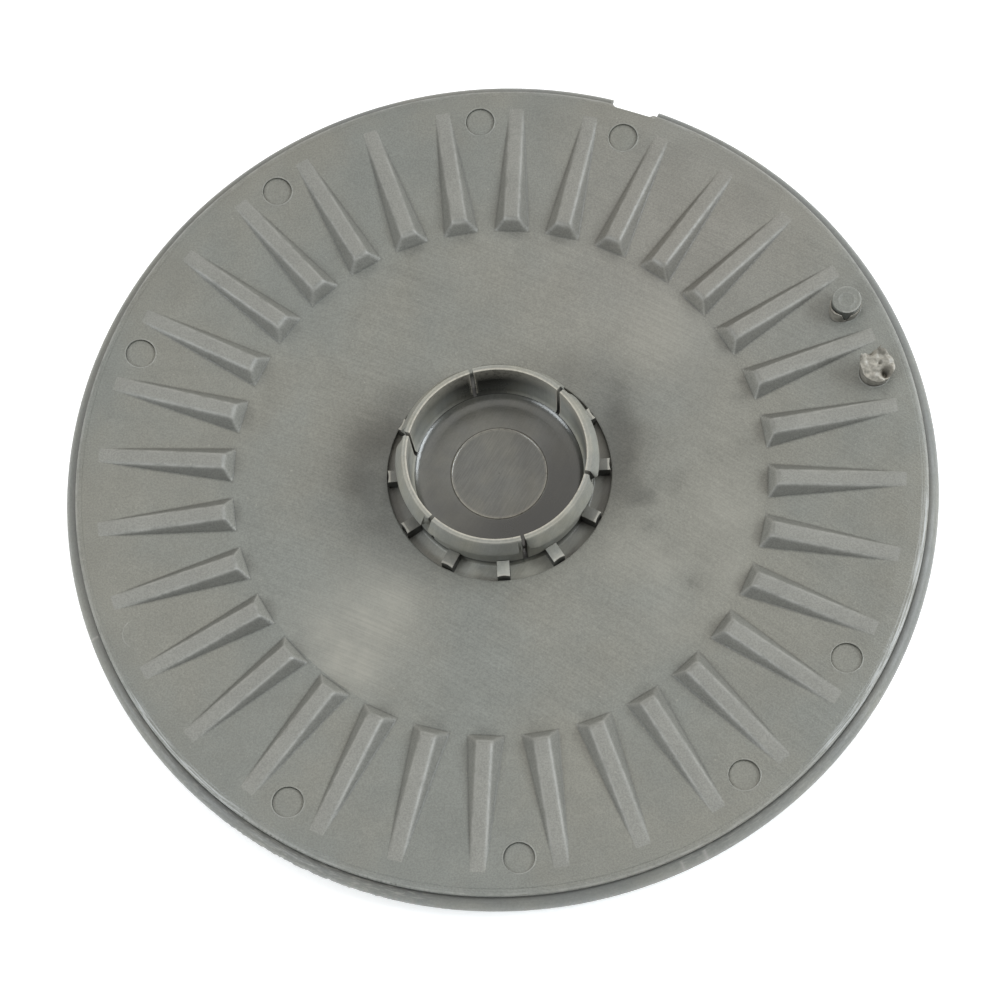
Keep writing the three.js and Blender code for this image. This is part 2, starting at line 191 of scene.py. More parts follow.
# Lumps and pits in the torn peg's top: height, place and reach.
TORN_LUMPS = (
    (4.0, -5.2, 3.0, 1.0), (2.2, 3.2, 3.9, 1.3), (4.2, 1.7, 4.9, 0.42), (-3.0, -1.5, 5.0, 1.6),
    (0.9, 1.2, 0.5, 1.5), (-1.5, 1.3, 0.6, 0.7), (2.2, 4.2, -1.8, 2.4), (-5.0, 2.9, -2.5, 1.25),
    (1.4, 5.0, -2.6, 1.3), (0.8, -1.0, -3.6, 1.1),
)

# Colours, as linear red, green and blue.
PLATE_COOL = (0.140, 0.145, 0.131)
PLATE_WARM = (0.156, 0.153, 0.131)
PLATE_AGED = (0.170, 0.161, 0.140)
RIB_GREY = (0.176, 0.175, 0.158)
SPECK_PALE = (0.28, 0.27, 0.235)
PATCH_PALE = (0.25, 0.242, 0.209)
# Pale colour of the edges: wear and a painted highlight.
EDGE_WEAR_AND_HIGHLIGHT = (0.35, 0.345, 0.32)
LIP_SCRAPES_AND_HIGHLIGHT = (0.42, 0.43, 0.43)
BITE_DARK = (0.035, 0.035, 0.03)
SHELL_COOL = (0.138, 0.141, 0.133)
SHELL_WARM = (0.160, 0.159, 0.142)
SHELL_RUBBED = (0.36, 0.35, 0.31)
SEAM_PALE = (0.4, 0.38, 0.35)
HUB_COOL = (0.144, 0.144, 0.130)
HUB_WARM = (0.165, 0.160, 0.134)
# Pale colour of the hub's edges: wear and a painted highlight.
HUB_WEAR_AND_HIGHLIGHT = (0.42, 0.39, 0.33)
# Painted shade in the slits.
SLIT_SHADOW = (0.008, 0.008, 0.007)
LUG_COOL = (0.150, 0.149, 0.134)
LUG_WARM = (0.185, 0.180, 0.158)
LUG_TIP = (0.36, 0.345, 0.30)
# Painted shade on the lugs' upright sides.
LUG_SHADE = (0.03, 0.03, 0.026)
TORN_DARK = (0.205, 0.192, 0.164)
TORN_PALE = (0.30, 0.28, 0.24)
FLOOR_WHITE = (0.93, 0.93, 0.93)

# Stage, in metres. The floor is wide enough to fill low views, and its glow keeps the shadow faint.
FLOOR_HALF = 40.0
FLOOR_GAP = 0.0005
FLOOR_GLOW = 0.35
SKY_STRENGTH = 0.12
SOFTBOX_COLOUR = (0.9, 0.96, 1.0)
SOFTBOXES = (
    ("softbox_right", (1.1, -0.1, 0.8), (0.85, 0.46), 16.5),
    ("softbox_left", (-1.05, -0.4, 0.95), (0.68, 0.44), 11.5),
)
SUN_STRENGTH = 1.95
SUN_SPREAD = math.radians(80)
SUN_TILT = math.radians(-25)
SUN_COLOUR = (1.0, 0.975, 0.93)

# Camera, as an elevation and azimuth seen from the disc, and a share of the frame for its shift.
CAMERA_ELEVATION = math.radians(69.72)
CAMERA_AZIMUTH = math.radians(-0.906)
CAMERA_ROLL = math.radians(-8.06)
CAMERA_DISTANCE = 0.7612
CAMERA_LENS = 80.14
CAMERA_SHIFT = (0.0017, -0.0332)


# ---------------------------------------------------------------- mesh helpers

def smooth_min(a, b, reach):
    """The lower of two heights, rounded where they cross."""
    share = np.clip(reach - np.abs(a - b), 0, None) / reach
    return np.minimum(a, b) - share * share * reach / 4


def smooth_max(a, b, reach):
    return -smooth_min(-a, -b, reach)


def linked(name, data):
    """A new object in the scene for a mesh, light or camera."""
    made = bpy.data.objects.new(name, data)
    bpy.context.scene.collection.objects.link(made)
    return made


def new_object(name, vertices, faces):
    mesh = bpy.data.meshes.new(name)
    mesh.from_pydata([tuple(v) for v in vertices], [], faces)
    mesh.validate()
    return linked(name, mesh)


def object_from(mesh, name):
    """Turns a bmesh into an object, its faces outwards."""
    bmesh.ops.recalc_face_normals(mesh, faces=mesh.faces)
    data = bpy.data.meshes.new(name)
    mesh.to_mesh(data)
    mesh.free()
    return linked(name, data)


def prism_into(mesh, lower, upper, low, high, spin):
    """Adds a closed prism between two outlines at two heights, turned about the axis, to a bmesh."""
    turn = Matrix.Rotation(spin, 3, "Z")
    bottom = [mesh.verts.new(turn @ Vector((x, y, low)) * MM) for x, y in lower]
    top = [mesh.verts.new(turn @ Vector((x, y, high)) * MM) for x, y in upper]
    mesh.faces.new(list(reversed(bottom)))
    mesh.faces.new(top)
    for i in range(len(lower)):
        after = (i + 1) % len(lower)
        mesh.faces.new((bottom[i], bottom[after], top[after], top[i]))


def torus_faces(rows, columns):
    """Quads of a grid that closes on itself both ways."""
    faces = []
    for i in range(rows):
        below = (i + 1) % rows
        for j in range(columns):
            beside = (j + 1) % columns
            upper = (i * columns + j, i * columns + beside)
            lower = (below * columns + j, below * columns + beside)
            faces.append((upper[0], lower[0], lower[1], upper[1]))
    return faces


def turned(name, profile, columns):
    """A closed profile of (radius, height) points, turned about the axis."""
    points = np.array(profile, float)
    angles = np.arange(columns) * 2 * math.pi / columns
    radius = points[:, 0][:, None]
    x = radius * np.cos(angles)[None, :]
    y = radius * np.sin(angles)[None, :]
    z = np.repeat(points[:, 1][:, None], columns, axis=1)
    vertices = np.stack([x, y, z], 2).reshape(-1, 3) * MM
    return new_object(name, vertices, torus_faces(len(points), columns))


def arc(centre, size, start, end, steps):
    """Points on an ellipse's arc, as (radius, height), angles in degrees."""
    angles = np.radians(np.linspace(start, end, steps))
    return [(centre[0] + size[0] * math.cos(a), centre[1] + size[1] * math.sin(a)) for a in angles]


def face_outwards(piece):
    mesh = bmesh.new()
    mesh.from_mesh(piece.data)
    bmesh.ops.recalc_face_normals(mesh, faces=mesh.faces)
    mesh.to_mesh(piece.data)
    mesh.free()


def smooth(piece, angle=32):
    """Smooth shading with creases sharper than an angle kept."""
    piece.data.shade_smooth()
    piece.data.set_sharp_from_angle(angle=math.radians(angle))


def bevel(piece, width, segments=2, angle=30):
    modifier = piece.modifiers.new("edges", "BEVEL")
    modifier.width = width * MM
    modifier.segments = segments
    modifier.limit_method = "ANGLE"
    modifier.angle_limit = math.radians(angle)
    modifier.harden_normals = False


def apply_modifiers(piece):
    graph = bpy.context.evaluated_depsgraph_get()
    made = bpy.data.meshes.new_from_object(piece.evaluated_get(graph))
    piece.modifiers.clear()
    piece.data = made


def cut(piece, cutter):
    """Takes the cutter's shape out of the piece and removes the cutter."""
    modifier = piece.modifiers.new("cut", "BOOLEAN")
    modifier.operation = "DIFFERENCE"
    modifier.solver = "MANIFOLD"
    modifier.object = cutter
    apply_modifiers(piece)
    bpy.data.objects.remove(cutter)


def points_of(piece):
    """The piece's vertices as an array in millimetres."""
    found = np.empty(len(piece.data.vertices) * 3)
    piece.data.vertices.foreach_get("co", found)
    return found.reshape(-1, 3) / MM


def mark(piece, **masks):
    """Stores named masks, one number for each vertex, for the materials to read."""
    for name, values in masks.items():
        attribute = piece.data.attributes.new(name, "FLOAT", "POINT")
        attribute.data.foreach_set("value", np.clip(values.astype(np.float32), 0, 1))


def near(value, target, width):
    """1 at the target, easing to 0 a width away."""
    return np.exp(-(((value - target) / width) ** 2))


def between(angle, start, end, soft=3.0):
    """1 for angles (degrees) inside a span and 0 outside it, with soft ends."""
    turn = (angle - start) % 360
    span = (end - start) % 360
    inside = np.clip(np.minimum(turn, span - turn) / soft, 0, 1)
    return np.where(turn <= span, inside, 0)


def around(degrees, centre, reach):
    """A soft mask that peaks in one direction, in degrees round the axis."""
    return np.exp(-(((degrees - centre + 180) % 360 - 180) / reach) ** 2)


def toned(degrees, base, changes):
    """A base tone with changes added round the axis."""
    return base + sum(change * around(degrees, centre, reach) for change, centre, reach in changes)


def spanned(degrees, spans):
    """Stretches of the rim added up, each given as start, end, reach of its soft ends and strength."""
    return sum(strength * between(degrees, start, end, soft) for start, end, soft, strength in spans)


def spotted(x, y, spots):
    """Soft round spots added up, each given as x, y, reach and strength."""
    total = np.zeros_like(x)
    for at_x, at_y, reach, strength in spots:
        total += strength * np.exp(-((x - at_x) ** 2 + (y - at_y) ** 2) / reach ** 2)
    return total


def polar_point(centre, radius, turn, z):
    """A point in metres on a circle round a centre given in millimetres."""
    return Vector((centre.x + radius * math.cos(turn), centre.y + radius * math.sin(turn), z)) * MM


def place(piece, body, slot_name, *nodes):
    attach(piece, body)
    if nodes:
        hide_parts(*nodes)
    return piece


# ---------------------------------------------------------------- plate

def plate_height(radius):
    """The plate's upper surface without its ribs."""
    groove = GROOVE_DEPTH * (np.abs(radius - GROOVE_RADIUS) < 0.1)
    cone = RIM - (LAND_RADIUS - radius) * CONE_SLOPE
    lower = smooth_max(cone, RIM - CENTRE_DROP - groove, CONE_BLEND)
    return smooth_min(lower, RIM, LAND_BLEND)


def crest_height(x):
    return CREST_INNER + (x - RIB_INNER) * CREST_SLOPE


def rib_half_width(radius):
    """Half the rib's width where it meets the plate."""
    return CREST_HALF + SIDE_DRAFT * (crest_height(radius) - plate_height(radius))


def surface_height(radius, turn):
    """Height of plate and rib at a radius and an angle from the nearest rib's middle."""
    x = radius * np.cos(turn)
    y = np.abs(radius * np.sin(turn))
    crest = crest_height(x)
    side = crest - (y - CREST_HALF) / SIDE_DRAFT
    inner_end = CREST_INNER - (RIB_INNER - x) / END_DRAFT
    outer_end = CREST_OUTER - (x - RIB_OUTER) / END_DRAFT
    ends = smooth_min(inner_end, outer_end, LAND_BLEND)
    rib = smooth_min(smooth_min(crest, side, CREST_BLEND), ends, RIB_BLEND)
    return smooth_max(plate_height(radius), rib, ROOT_BLEND)


def rib_lines():
    """Grid lines in one pitch, as (kind, share, side of the rib), from one panel's middle to the next."""
    crest = [("crest", u) for u in (0, 0.4, 0.7, 0.84, 0.92, 0.97)]
    side = [("side", t) for t in (0, 0.04, 0.09, 0.16, 0.28, 0.5, 0.72, 0.84, 0.91, 0.96, 1)]
    panel = [("panel", s) for s in (0.015, 0.035, 0.07, 0.13, 0.22, 0.34, 0.5, 0.66, 0.83)]
    half = crest + side + panel
    left = [(kind, share, -1) for kind, share in reversed(half)]
    right = [(kind, share, 1) for kind, share in half[1:]]
    return left + right + [("panel", 1.0, 1)]


def line_angle(kind, share, sign, radius):
    """Angle of a grid line from the rib's middle at a radius. Sides follow the rib's draft."""
    at = np.clip(radius, RIB_INNER - END_RUN, RIB_OUTER)
    base = np.arcsin(rib_half_width(at) / at)
    edge = np.arcsin(CREST_HALF / at)
    if kind == "crest":
        return sign * edge * share
    if kind == "side":
        return sign * (edge + (base - edge) * share)
    return sign * (base + (PITCH / 2 - base) * share)


def plate_stations():
    """Radii of the grid's rings over the upper surface, from the hole to the lip."""
    shares = np.array([1, 0.96, 0.91, 0.84, 0.72, 0.5, 0.28, 0.16, 0.09, 0.04, 0])
    end = RIB_INNER - shares * END_RUN
    rings = [HOLE_RADIUS + 0.3, 39.3, 40.5] + list(np.arange(43, 90, 3.0)) + [90, 90.9, 91.3]
    rings += [91.6, 91.9, 92.1]
    rings += [r for r in end if r > 92.15]
    rings += [95.75, 95.95, 96.3, 97, 98.5, 101, 104.5, 108.5, 113, 118, 123, 128, 132, 135, 136.6]
    rings += [137.4, 137.8, 138.0, 138.12, 138.2, 138.28, 138.4, 138.6, 139, 139.8, 141, 142.4, 143.3]
    return rings


def make_plate():
    """The ribbed plate as one closed skin: a polar grid whose lines follow the ribs' edges."""
    lines = rib_lines()
    centre = RIM - CENTRE_DROP
    lip = [(143.6, RIM), (143.85, RIM - 0.14), (144.15, RIM - 0.12), (145.0, RIM - 0.3)]
    lip += arc((LIP_RADIUS - 0.6, RIM - 1.05), (0.6, 0.6), 75, 0, 5)
    under = [(LIP_RADIUS, RIM - THICKNESS + 0.25), (LIP_RADIUS - 0.25, RIM - THICKNESS)]
    under += [(LAND_RADIUS, RIM - THICKNESS), (CENTRE_RADIUS, centre - THICKNESS)]
    under += [(HOLE_RADIUS, centre - THICKNESS), (HOLE_RADIUS, centre - 0.3)]
    under += [(HOLE_RADIUS + 0.09, centre - 0.09)]
    rows = [(radius, None) for radius in plate_stations()] + lip + under
    count = len(lines) * RIB_COUNT
    x = np.zeros((len(rows), count))
    y = np.zeros_like(x)
    z = np.zeros_like(x)
    for i, (radius, height) in enumerate(rows):
        turns = np.array([line_angle(*line, np.float64(radius)) for line in lines])
        if height is None:
            heights = surface_height(np.full(len(turns), float(radius)), turns)
        else:
            heights = np.full(len(turns), height)
        for k in range(RIB_COUNT):
            part = slice(k * len(lines), (k + 1) * len(lines))
            x[i, part] = radius * np.cos(turns + k * PITCH)
            y[i, part] = radius * np.sin(turns + k * PITCH)
            z[i, part] = heights
    vertices = np.stack([x, y, z], 2).reshape(-1, 3) * MM
    plate = new_object("ribbed_plate_moulding", vertices, torus_faces(len(rows), count))
    face_outwards(plate)
    cut(plate, plate_cutter())
    smooth(plate)
    mark_plate(plate)
    return place(plate, "disc", "plate_plastic", "ribbed_plate")


def mark_plate(plate):
    """Marks the plate's parts, its stains with a painted shade and shadow, and the rubbed and scraped
    parts of its lip, whose pale streaks are partly a painted highlight.
    """
    x, y, z = points_of(plate).T
    radius = np.hypot(x, y)
    angle = np.arctan2(y, x)
    on_rib = mark_ribs(plate, radius, angle, z, beside_notch(x, y, z))
    mark_dirt_and_shade(plate, x, y, on_rib)
    flat = radius < CENTRE_RADIUS
    right = 0.9 * np.clip((x - 30) / 50, 0, 1) * (1 - on_rib)
    mark(plate, centre=flat, lines=np.maximum(right, flat))
    mark(plate, pale=spotted(x, y, PALE) * flat, warm=spotted(x, y, AGED))
    degrees = np.degrees(angle) % 360
    scuff = (spanned(degrees, LIP_SCUFFS) + FAINT_SCUFF) * near(radius, LIP_RADIUS - 0.9, 1.0)
    mark(plate, scuff=scuff, bites=spanned(degrees, LIP_BITES) * near(radius, LIP_RADIUS - 0.15, 0.35))


def beside_notch(x, y, z):
    """1 along the upper edge of the notch in the lip."""
    out = x * math.cos(NOTCH_ANGLE) + y * math.sin(NOTCH_ANGLE)
    aside = np.abs(y * math.cos(NOTCH_ANGLE) - x * math.sin(NOTCH_ANGLE))
    outline = np.maximum(NOTCH_RADIUS - out, aside - LIP_NOTCH_WIDTH / 2)
    return near(outline, 0, 0.15) * (z > RIM - 0.5)


def mark_ribs(plate, radius, angle, z, notch_edge):
    """Marks the ribs, a painted shade along their roots and sides, a painted light on their inner ends,
    and all edges, paler from wear and a painted highlight, and returns the ribs' mask.
    """
    turn = (angle + PITCH / 2) % PITCH - PITCH / 2
    along = radius * np.cos(turn)
    off = np.abs(radius * np.sin(turn))
    crest = crest_height(along)
    side = crest - (off - CREST_HALF) / SIDE_DRAFT
    end = CREST_INNER - (RIB_INNER - along) / END_DRAFT
    lift = np.minimum(np.minimum(crest, side), end) - plate_height(radius)
    on_rib = np.clip(lift / 0.12, 0, 1) * (along < RIB_OUTER + 0.2)
    # Edges are marked paler, partly from wear and partly as a painted highlight.
    crest_edge = near(side, crest, 0.6) * (end > crest - 0.6)
    end_edge = near(end, crest, 0.8) * (side > crest - 0.6)
    corner = 0.7 * near(end, side, 0.8) * (side < crest)
    edge = np.maximum(np.maximum(crest_edge, end_edge), corner) * np.clip(lift / 1.4, 0, 1)
    edge *= along < RIB_OUTER - 0.1
    # A painted highlight along the lip's top edge, and a fainter one along the hole's edge.
    edge = np.maximum(edge, 0.9 * near(radius, LIP_RADIUS - 0.45, 0.4) * (z > RIM - 0.9))
    edge = np.maximum(edge, 0.3 * near(radius, HOLE_RADIUS + 0.1, 0.2))
    # Painted shade along the crease at each rib's root.
    root = near(lift, 0, 0.6) * (radius > CENTRE_RADIUS - 1) * np.clip((RIB_OUTER - along) / 12, 0, 1)
    root *= np.maximum(np.clip((off - CREST_HALF) / 0.5, 0, 1), along < RIB_INNER)
    # Painted shade on the ribs' sides and painted light on their inner ends, varying with direction.
    across = np.cos(2 * (angle - SHADE_TURN))
    on_side = np.clip((crest - side) / 0.5, 0, 1) * (side < end) * (lift > 0)
    on_end = np.clip((crest - end) / 0.5, 0, 1) * (end < side) * (lift > 0)
    mark(plate, rib=on_rib, edge=np.maximum(edge, notch_edge), root=root)
    mark(plate, side=on_side * (0.2 + 0.35 * across), end=on_end * (0.25 + 0.5 * across))
    return on_rib


def mark_dirt_and_shade(plate, x, y, on_rib):
    """Marks the stains, a painted shadow of the hub round the centre hole and a painted shade at the ribs'
    inner ends.
    """
    radius = np.hypot(x, y)
    angle = np.arctan2(y, x)
    turn = (angle + PITCH / 2) % PITCH - PITCH / 2
    # Painted shade on the plate in front of each rib's inner end.
    inwards = (CENTRE_RADIUS - radius * np.cos(turn)) / 3.5
    aside = radius * np.sin(turn) / 5
    halo = np.exp(-inwards ** 2 - aside ** 4) * (radius < CENTRE_RADIUS + 1)
    # Painted shadow cast by the hub on both sides of the centre hole.
    hub_shadow = np.exp(-((radius - 40) / 16) ** 2) * toned(np.degrees(angle), 0, HUB_SHADOW_TONES)
    mark(plate, stain=spotted(x, y, STAINS) + hub_shadow + 0.55 * halo * (1 - on_rib))


def peg_angle(step):
    return (step + 0.5) * PITCH


def peg_centre(step):
    spin = peg_angle(step)
    return Vector((PEG_CIRCLE * math.cos(spin), PEG_CIRCLE * math.sin(spin), 0))


def cylinder_into(mesh, radius, low, high, x, y, sides=64):
    """Adds an upright cylinder to a bmesh."""
    sizes = {"radius1": radius * MM, "radius2": radius * MM, "depth": (high - low) * MM}
    made = bmesh.ops.create_cone(mesh, cap_ends=True, segments=sides, **sizes)
    bmesh.ops.translate(mesh, verts=made["verts"], vec=Vector((x, y, (low + high) / 2)) * MM)


def notch_into(mesh, width, low, high):
    """Adds the notch's shape, with rounded inner corners, to a bmesh."""
    half = width / 2
    corner = 1.6
    inner = arc((NOTCH_RADIUS + corner, -half + corner), (corner, corner), 270, 180, 6)
    inner += arc((NOTCH_RADIUS + corner, half - corner), (corner, corner), 180, 90, 6)
    outline = inner + [(DISC_RADIUS + 5, half), (DISC_RADIUS + 5, -half)]
    prism_into(mesh, outline, outline, low, high, NOTCH_ANGLE)


def plate_cutter():
    mesh = bmesh.new()
    for step in (*FLUSH_STEPS, STANDING_STEP, TORN_STEP):
        centre = peg_centre(step)
        cylinder_into(mesh, PEG_HOLE, 0, RIM + 5, centre.x, centre.y)
    notch_into(mesh, LIP_NOTCH_WIDTH, 0, RIM + 5)
    return object_from(mesh, "cutter")


# ---------------------------------------------------------------- back shell

def make_shell():
    """The back shell: a dish whose rolled flange shows under the lip."""
    profile = [(0.5, 0), (60, 0), (120, 0), (137, 0)]
    profile += arc((137, 4), (7.2, 4), 270, 360, 10)
    profile += [(144.2, 7.6)]
    profile += arc((144.9, 7.6), (0.7, 0.7), 180, 90, 4)
    profile += [(148.6, 8.3)]
    profile += arc((149.2, 8.9), (DISC_RADIUS - 149.2, 0.6), -90, 0, 5)
    profile += arc(ROLL_CENTRE, (DISC_RADIUS - ROLL_CENTRE[0], 3.1), 0, 90, 18)[1:]
    profile += [(146.1, JOINT_LEVEL + 0.2), (145.7, JOINT_LEVEL), (JOINT_RADIUS, JOINT_LEVEL)]
    profile += [(JOINT_RADIUS, SHELL_FLOOR + 0.7), (JOINT_RADIUS - 0.7, SHELL_FLOOR)]
    profile += [(44.3, SHELL_FLOOR), (44.3, 3.1), (33, 3.1), (33, SHELL_FLOOR), (0.5, SHELL_FLOOR)]
    shell = turned("back_shell_moulding", profile, 1536)
    face_outwards(shell)
    mesh = bmesh.new()
    notch_into(mesh, FLANGE_NOTCH_WIDTH, 7.9, RIM)
    cut(shell, object_from(mesh, "cutter"))
    smooth(shell)
    mark_shell(shell)
    return place(shell, "disc", "shell_plastic", "back_shell")


def mark_shell(shell):
    """Nicks the flange's edge along one stretch, and marks its scrapes, its seams, and a painted shade by
    the lip that turns to a painted reflection outwards.
    """
    x, y, z = points_of(shell).T
    radius = np.hypot(x, y)
    degrees = np.degrees(np.arctan2(y, x)) % 360
    for vertex, r, turn in zip(shell.data.vertices, radius, degrees):
        ragged = float(between(turn, 220, 252, 8)) * max(0.0, r - 147.5) / 2.5
        if ragged > 0:
            bite = noise.noise(Vector((turn * 2.2, 0.3, 0)))
            bite += 0.5 * noise.noise(Vector((turn * 6, 4, 0)))
            vertex.co *= 1 + NICK_DEPTH * ragged * min(0.3, bite - 0.15)
    scuff = spanned(degrees, FLANGE_SCUFFS) + FAINT_SCUFF
    seam = toned(degrees, 0, FLANGE_SEAMS)
    # Painted shade next to the lip, turning to a painted reflection that lightens the flange towards its
    # outer edge.
    outward = np.clip((radius - 146.2) / (DISC_RADIUS - 146.2), 0, 1)
    mark(shell, scuff=scuff * (radius > 146), seam=seam * (radius > 146.8), outward=outward * (z > 8.5))


# ---------------------------------------------------------------- hub

def fillet(start, end, steps):
    """Part of the curve from the cup's floor up into its wall, from 270 to 360 degrees."""
    wide, high = CUP_FILLET
    return arc((CUP_INNER - wide, CUP_FLOOR + high), (wide, high), start, end, steps)


def make_cup():
    """The hub cup: floor with a round gate mark, root of the wall and moat floor."""
    ring = GATE_RADIUS
    floor = [(radius, CUP_FLOOR) for radius in (0.15, 8, ring - 1.2, ring - 0.55)]
    floor += [(ring + out, CUP_FLOOR + up) for out, up in GATE_SECTION]
    floor += [(radius, CUP_FLOOR) for radius in (18.5, 21, 23.5)]
    wall = [(CUP_OUTER, CUP_WALL_TOP)]
    moat = arc((CUP_OUTER + 0.5, MOAT_FLOOR + 0.5), (0.5, 0.5), 180, 270, 5)
    flange = [(FLANGE_RADIUS, MOAT_FLOOR), (FLANGE_RADIUS, 3.4), (29.4, 3.4), (27, 6), (0.15, 6)]
    cup = turned("hub_cup_moulding", floor + fillet(270, 330, 14) + wall + moat + flange, 384)
    face_outwards(cup)
    smooth(cup)
    mark_cup(cup)
    return place(cup, "disc", "hub_plastic", "hub_cup")


def mark_cup(cup):
    """Marks the cup's inside with a painted shade, its gate mark, a painted shade under its slits, and
    painted light and shade round the axis.
    """
    x, y, z = points_of(cup).T
    radius = np.hypot(x, y)
    degrees = np.degrees(np.arctan2(y, x))
    # The gate mark's ridge is painted paler, as a painted highlight.
    mark(cup, edge=0.45 * near(radius, GATE_RADIUS - 0.25, 0.3))
    # Painted shade inside the cup.
    mark(cup, inside=radius < CUP_INNER + 0.1, disc=radius < GATE_RADIUS - 0.5)
    # Painted shade under the slits and on the wall's top faces seen through them.
    under_wall = (radius > CUP_INNER - 2.5) * (radius < CUP_OUTER)
    slit_shade = near(degrees, math.degrees(BACK_SLIT), 3) * (radius > CUP_OUTER)
    slit_shade += near(degrees, math.degrees(FRONT_SLIT), 2) * under_wall
    mark(cup, slit=np.maximum(0.85 * slit_shade, z > CUP_WALL_TOP - 0.1))
    # Painted light and shade round the axis on the floor and the moat.
    floor_tone = toned(degrees, 0.95, FLOOR_TONES) - 0.5 * np.cos(np.radians(degrees + 60))
    floor_tone = np.where(radius > GATE_RADIUS + 0.3, floor_tone, 1.0)
    tone = np.where(radius > CUP_OUTER - 0.1, toned(degrees, 1, MOAT_TONES), floor_tone)
    mark(cup, tone=0.5 * tone)


def finger_profile(barb, wall):
    """A finger's section as (radius, height) points, with shares of its barb and its wall."""
    top = COLLAR_TOP
    outer = CUP_OUTER - 1.5 * (1 - wall)
    reach = outer + (BARB_RADIUS - CUP_OUTER) * barb
    crown_outer = min(32.35, outer + 0.35)
    undercut = BARB_HEIGHT - 0.9 - (BARB_RADIUS - CUP_OUTER)
    inside = fillet(330, 360, 6) + [(CUP_INNER + 0.08, 13)]
    inside += [(CUP_INNER + 0.25, 20), (30.36, top - 0.3)]
    crown = arc((30.6, top - 0.24), (0.24, 0.24), 180, 90, 4)
    shrink = (crown_outer - 30.8) / (32.35 - 30.8)
    for radius, drop in ((31.1, 0), (31.25, 0.1), (31.4, 0.1), (31.55, 0.03), (32.0, 0.06), (32.35, 0.45)):
        crown.append((30.8 + (radius - 30.8) * shrink, top - drop))
    start = crown[-1]
    ramp = []
    for share in (0.08, 0.3, 0.6, 0.9):
        height = start[1] + (BARB_HEIGHT - start[1]) * share
        ramp.append((start[0] + (reach - start[0]) * share, height))
    nose = [(reach, BARB_HEIGHT - 0.25), (reach, BARB_HEIGHT - 0.75)]
    nose += [(reach - 0.2 * barb, BARB_HEIGHT - 1.0)]
    under = [(outer + 0.1 * barb, undercut), (outer, undercut - 0.5), (outer, 14)]
    foot = CUP_OUTER - 0.05
    under += [(outer + (foot - outer) * 0.6, 12), (foot, 10.6), (foot, CUP_WALL_TOP - 0.05)]
    return inside + crown + ramp + nose + under


def end_shares(first_end, second_end, from_first, from_second):
    """Shares of barb and wall at a place, from the styles of the finger's two ends."""
    shares = []
    for part in (1, 2):
        values = []
        for style, distance in ((first_end, from_first), (second_end, from_second)):
            stops = np.array(style)
            values.append(np.interp(distance, stops[:, 0], stops[:, part]))
        shares.append(min(values))
    return shares


def finger_stations(first_end, second_end):
    """Places across a finger in degrees from its first slit."""
    span = 360 / FINGER_COUNT
    near_ends = [0.0, 0.25, 0.5, 0.75]
    stops = near_ends + [row[0] for row in first_end]
    stops += [span - d for d in near_ends + [row[0] for row in second_end]]
    stops += list(np.linspace(5, span - 5, 34))
    return np.array(sorted(set(np.round(stops, 3))))


def make_finger(index):
    """A snap finger: its section swept round the axis, its barb dying away at the slits."""
    first_end, second_end = FINGER_ENDS[index]
    span = 360 / FINGER_COUNT
    half = math.radians(span / 2)
    middle = FIRST_SLIT + (index + 0.5) * 2 * half
    columns = []
    for station in finger_stations(first_end, second_end):
        section = np.array(finger_profile(*end_shares(first_end, second_end, station, span - station)))
        reach = half - np.arcsin(SLIT_WIDTH / 2 / section[:, 0])
        angle = middle + (2 * station / span - 1) * reach
        x = section[:, 0] * np.cos(angle)
        y = section[:, 0] * np.sin(angle)
        columns.append(np.stack([x, y, section[:, 1]], 1))
    columns = np.array(columns) * MM
    count = columns.shape[1]
    vertices = columns.reshape(-1, 3)
    faces = []
    for j in range(len(columns) - 1):
        for i in range(count):
            after = (i + 1) % count
            beside = (j + 1) * count
            faces.append((j * count + i, j * count + after, beside + after, beside + i))
    faces.append(tuple(reversed(range(count))))
    faces.append(tuple(range((len(columns) - 1) * count, len(columns) * count)))
    name = f"snap_finger_{index + 1}"
    finger = new_object(name + "_moulding", vertices, faces)
    face_outwards(finger)
    smooth(finger)
    mark_finger(finger, middle, half)
    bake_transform(finger)
    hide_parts(name)
    return finger


